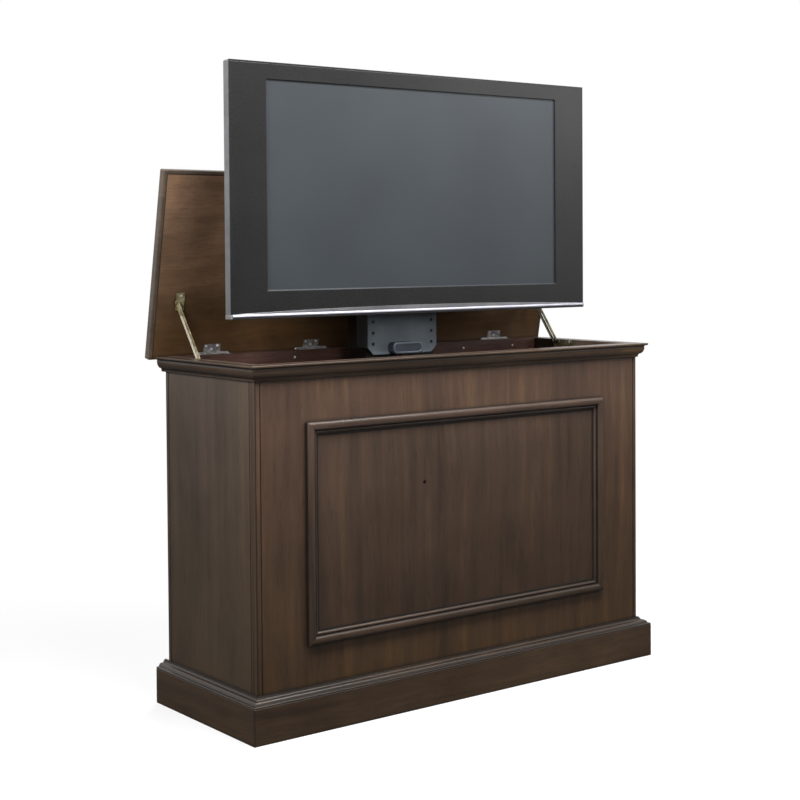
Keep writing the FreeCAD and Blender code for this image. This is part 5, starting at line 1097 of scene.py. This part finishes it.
def whiteFloor():  # pale matt floor that keeps the shadow and fades to the white background
    look = paleFloor
    material, tree, shader = newMaterial("paleFloor")
    place = addNode(tree, "TexCoord").outputs["Object"]
    far = addNode(tree, "VectorMath", {"operation": "LENGTH"}, {0: place}).outputs["Value"]
    fade = addNode(tree, "MapRange", {"interpolation_type": "SMOOTHSTEP", 1: look["fadeFrom"], 2: look["fadeTo"],
                                      3: look["nearGlow"], 4: 1.0}, {0: far})
    path = addNode(tree, "LightPath")
    bounced = addNode(tree, "Math", {"operation": "MAXIMUM"},
                      {0: path.outputs["Is Diffuse Ray"], 1: path.outputs["Is Glossy Ray"]})
    bounce = addNode(tree, "Mix", {"data_type": "RGBA", 6: linear(look["seen"]), 7: linear(look["bounced"])},
                     {0: bounced.outputs[0]})
    tree.links.new(bounce.outputs[2], shader.inputs["Base Color"])
    shader.inputs["Roughness"].default_value = look["roughness"]
    shader.inputs["Specular IOR Level"].default_value = 0.0
    glow = addNode(tree, "Emission", {"Strength": 1.0})
    share = addNode(tree, "Math", {"operation": "MULTIPLY"}, {0: fade.outputs[0], 1: path.outputs["Is Camera Ray"]})
    mixed = addNode(tree, "MixShader", {}, {0: share.outputs[0], 1: shader.outputs[0], 2: glow.outputs[0]})
    tree.links.new(mixed.outputs[0], tree.nodes["Material Output"].inputs["Surface"])
    work = bmesh.new()
    bmesh.ops.create_grid(work, x_segments=1, y_segments=1, size=look["half"])
    floor = bpy.data.objects.new("floor", meshFrom(work, "floor", material))
    floor.location.z = -look["below"]
    bpy.context.scene.collection.objects.link(floor)


def studioWorld():  # dim soft light all round; gloss sees white behind and the dim room in front
    world = bpy.data.worlds.new("studio")
    bpy.context.scene.world = world
    world.use_nodes = True
    tree = world.node_tree
    light = tree.nodes["Background"]
    light.inputs["Color"].default_value = linear("#ffffff")
    light.inputs["Strength"].default_value = studio["softLight"]
    white = addNode(tree, "Background", {"Color": linear("#ffffff"), "Strength": 1.0})
    way = addNode(tree, "TexCoord").outputs["Generated"]
    towards = addNode(tree, "VectorMath", {"operation": "DOT_PRODUCT", 1: studio["whiteWay"]}, {0: way})
    sweep = addNode(tree, "MapRange", {"interpolation_type": "SMOOTHSTEP", 1: studio["roomTo"],
                                       2: studio["whiteFrom"], 3: studio["darkRoom"], 4: 1.0},
                    {0: towards.outputs["Value"]})
    mirrored = addNode(tree, "Background", {"Color": linear("#ffffff")}, {"Strength": sweep.outputs[0]})
    path = addNode(tree, "LightPath")
    direct = addNode(tree, "Math", {"operation": "MAXIMUM"},
                     {0: path.outputs["Is Camera Ray"], 1: path.outputs["Is Transmission Ray"]})
    glossy = addNode(tree, "MixShader", {},
                     {0: path.outputs["Is Glossy Ray"], 1: light.outputs[0], 2: mirrored.outputs[0]})
    mixed = addNode(tree, "MixShader", {}, {0: direct.outputs[0], 1: glossy.outputs[0], 2: white.outputs[0]})
    tree.links.new(mixed.outputs[0], tree.nodes["World Output"].inputs["Surface"])


def softBox(name, look):
    data = bpy.data.lights.new(name, "AREA")
    data.shape = "RECTANGLE"
    data.size, data.size_y = look["size"]
    data.energy = look["watts"]
    lamp = bpy.data.objects.new(name, data)
    bpy.context.scene.collection.objects.link(lamp)
    lamp.visible_camera = False
    lamp.visible_glossy = look["glare"]
    lamp.location = look["at"]
    lamp.rotation_euler = (Vector(look["aim"]) - Vector(look["at"])).to_track_quat("-Z", "Y").to_euler()


def aimCamera(look):
    yaw, down, roll = (math.radians(look[key]) for key in ("yaw", "down", "roll"))
    ahead = Vector((math.sin(yaw) * math.cos(down), math.cos(yaw) * math.cos(down), -math.sin(down)))
    level = Vector((math.cos(yaw), -math.sin(yaw), 0))
    upright = level.cross(ahead)
    right = math.cos(roll) * level + math.sin(roll) * upright
    up = math.cos(roll) * upright - math.sin(roll) * level
    data = bpy.data.cameras.new("camera")
    data.lens, data.sensor_width, data.shift_y = look["lensMm"], look["sensorMm"], look["shift"]
    data.clip_end = look["farM"]
    camera = bpy.data.objects.new("camera", data)
    bpy.context.scene.collection.objects.link(camera)
    camera.matrix_world = Matrix.Translation(look["place"]) @ Matrix((right, up, -ahead)).transposed().to_4x4()
    bpy.context.scene.camera = camera


whiteFloor()
studioWorld()
for name, look in softBoxes.items():
    softBox(name, look)
aimCamera(shot)
bpy.context.scene.view_settings.view_transform = "Standard"
print("stage, lamps and camera set")
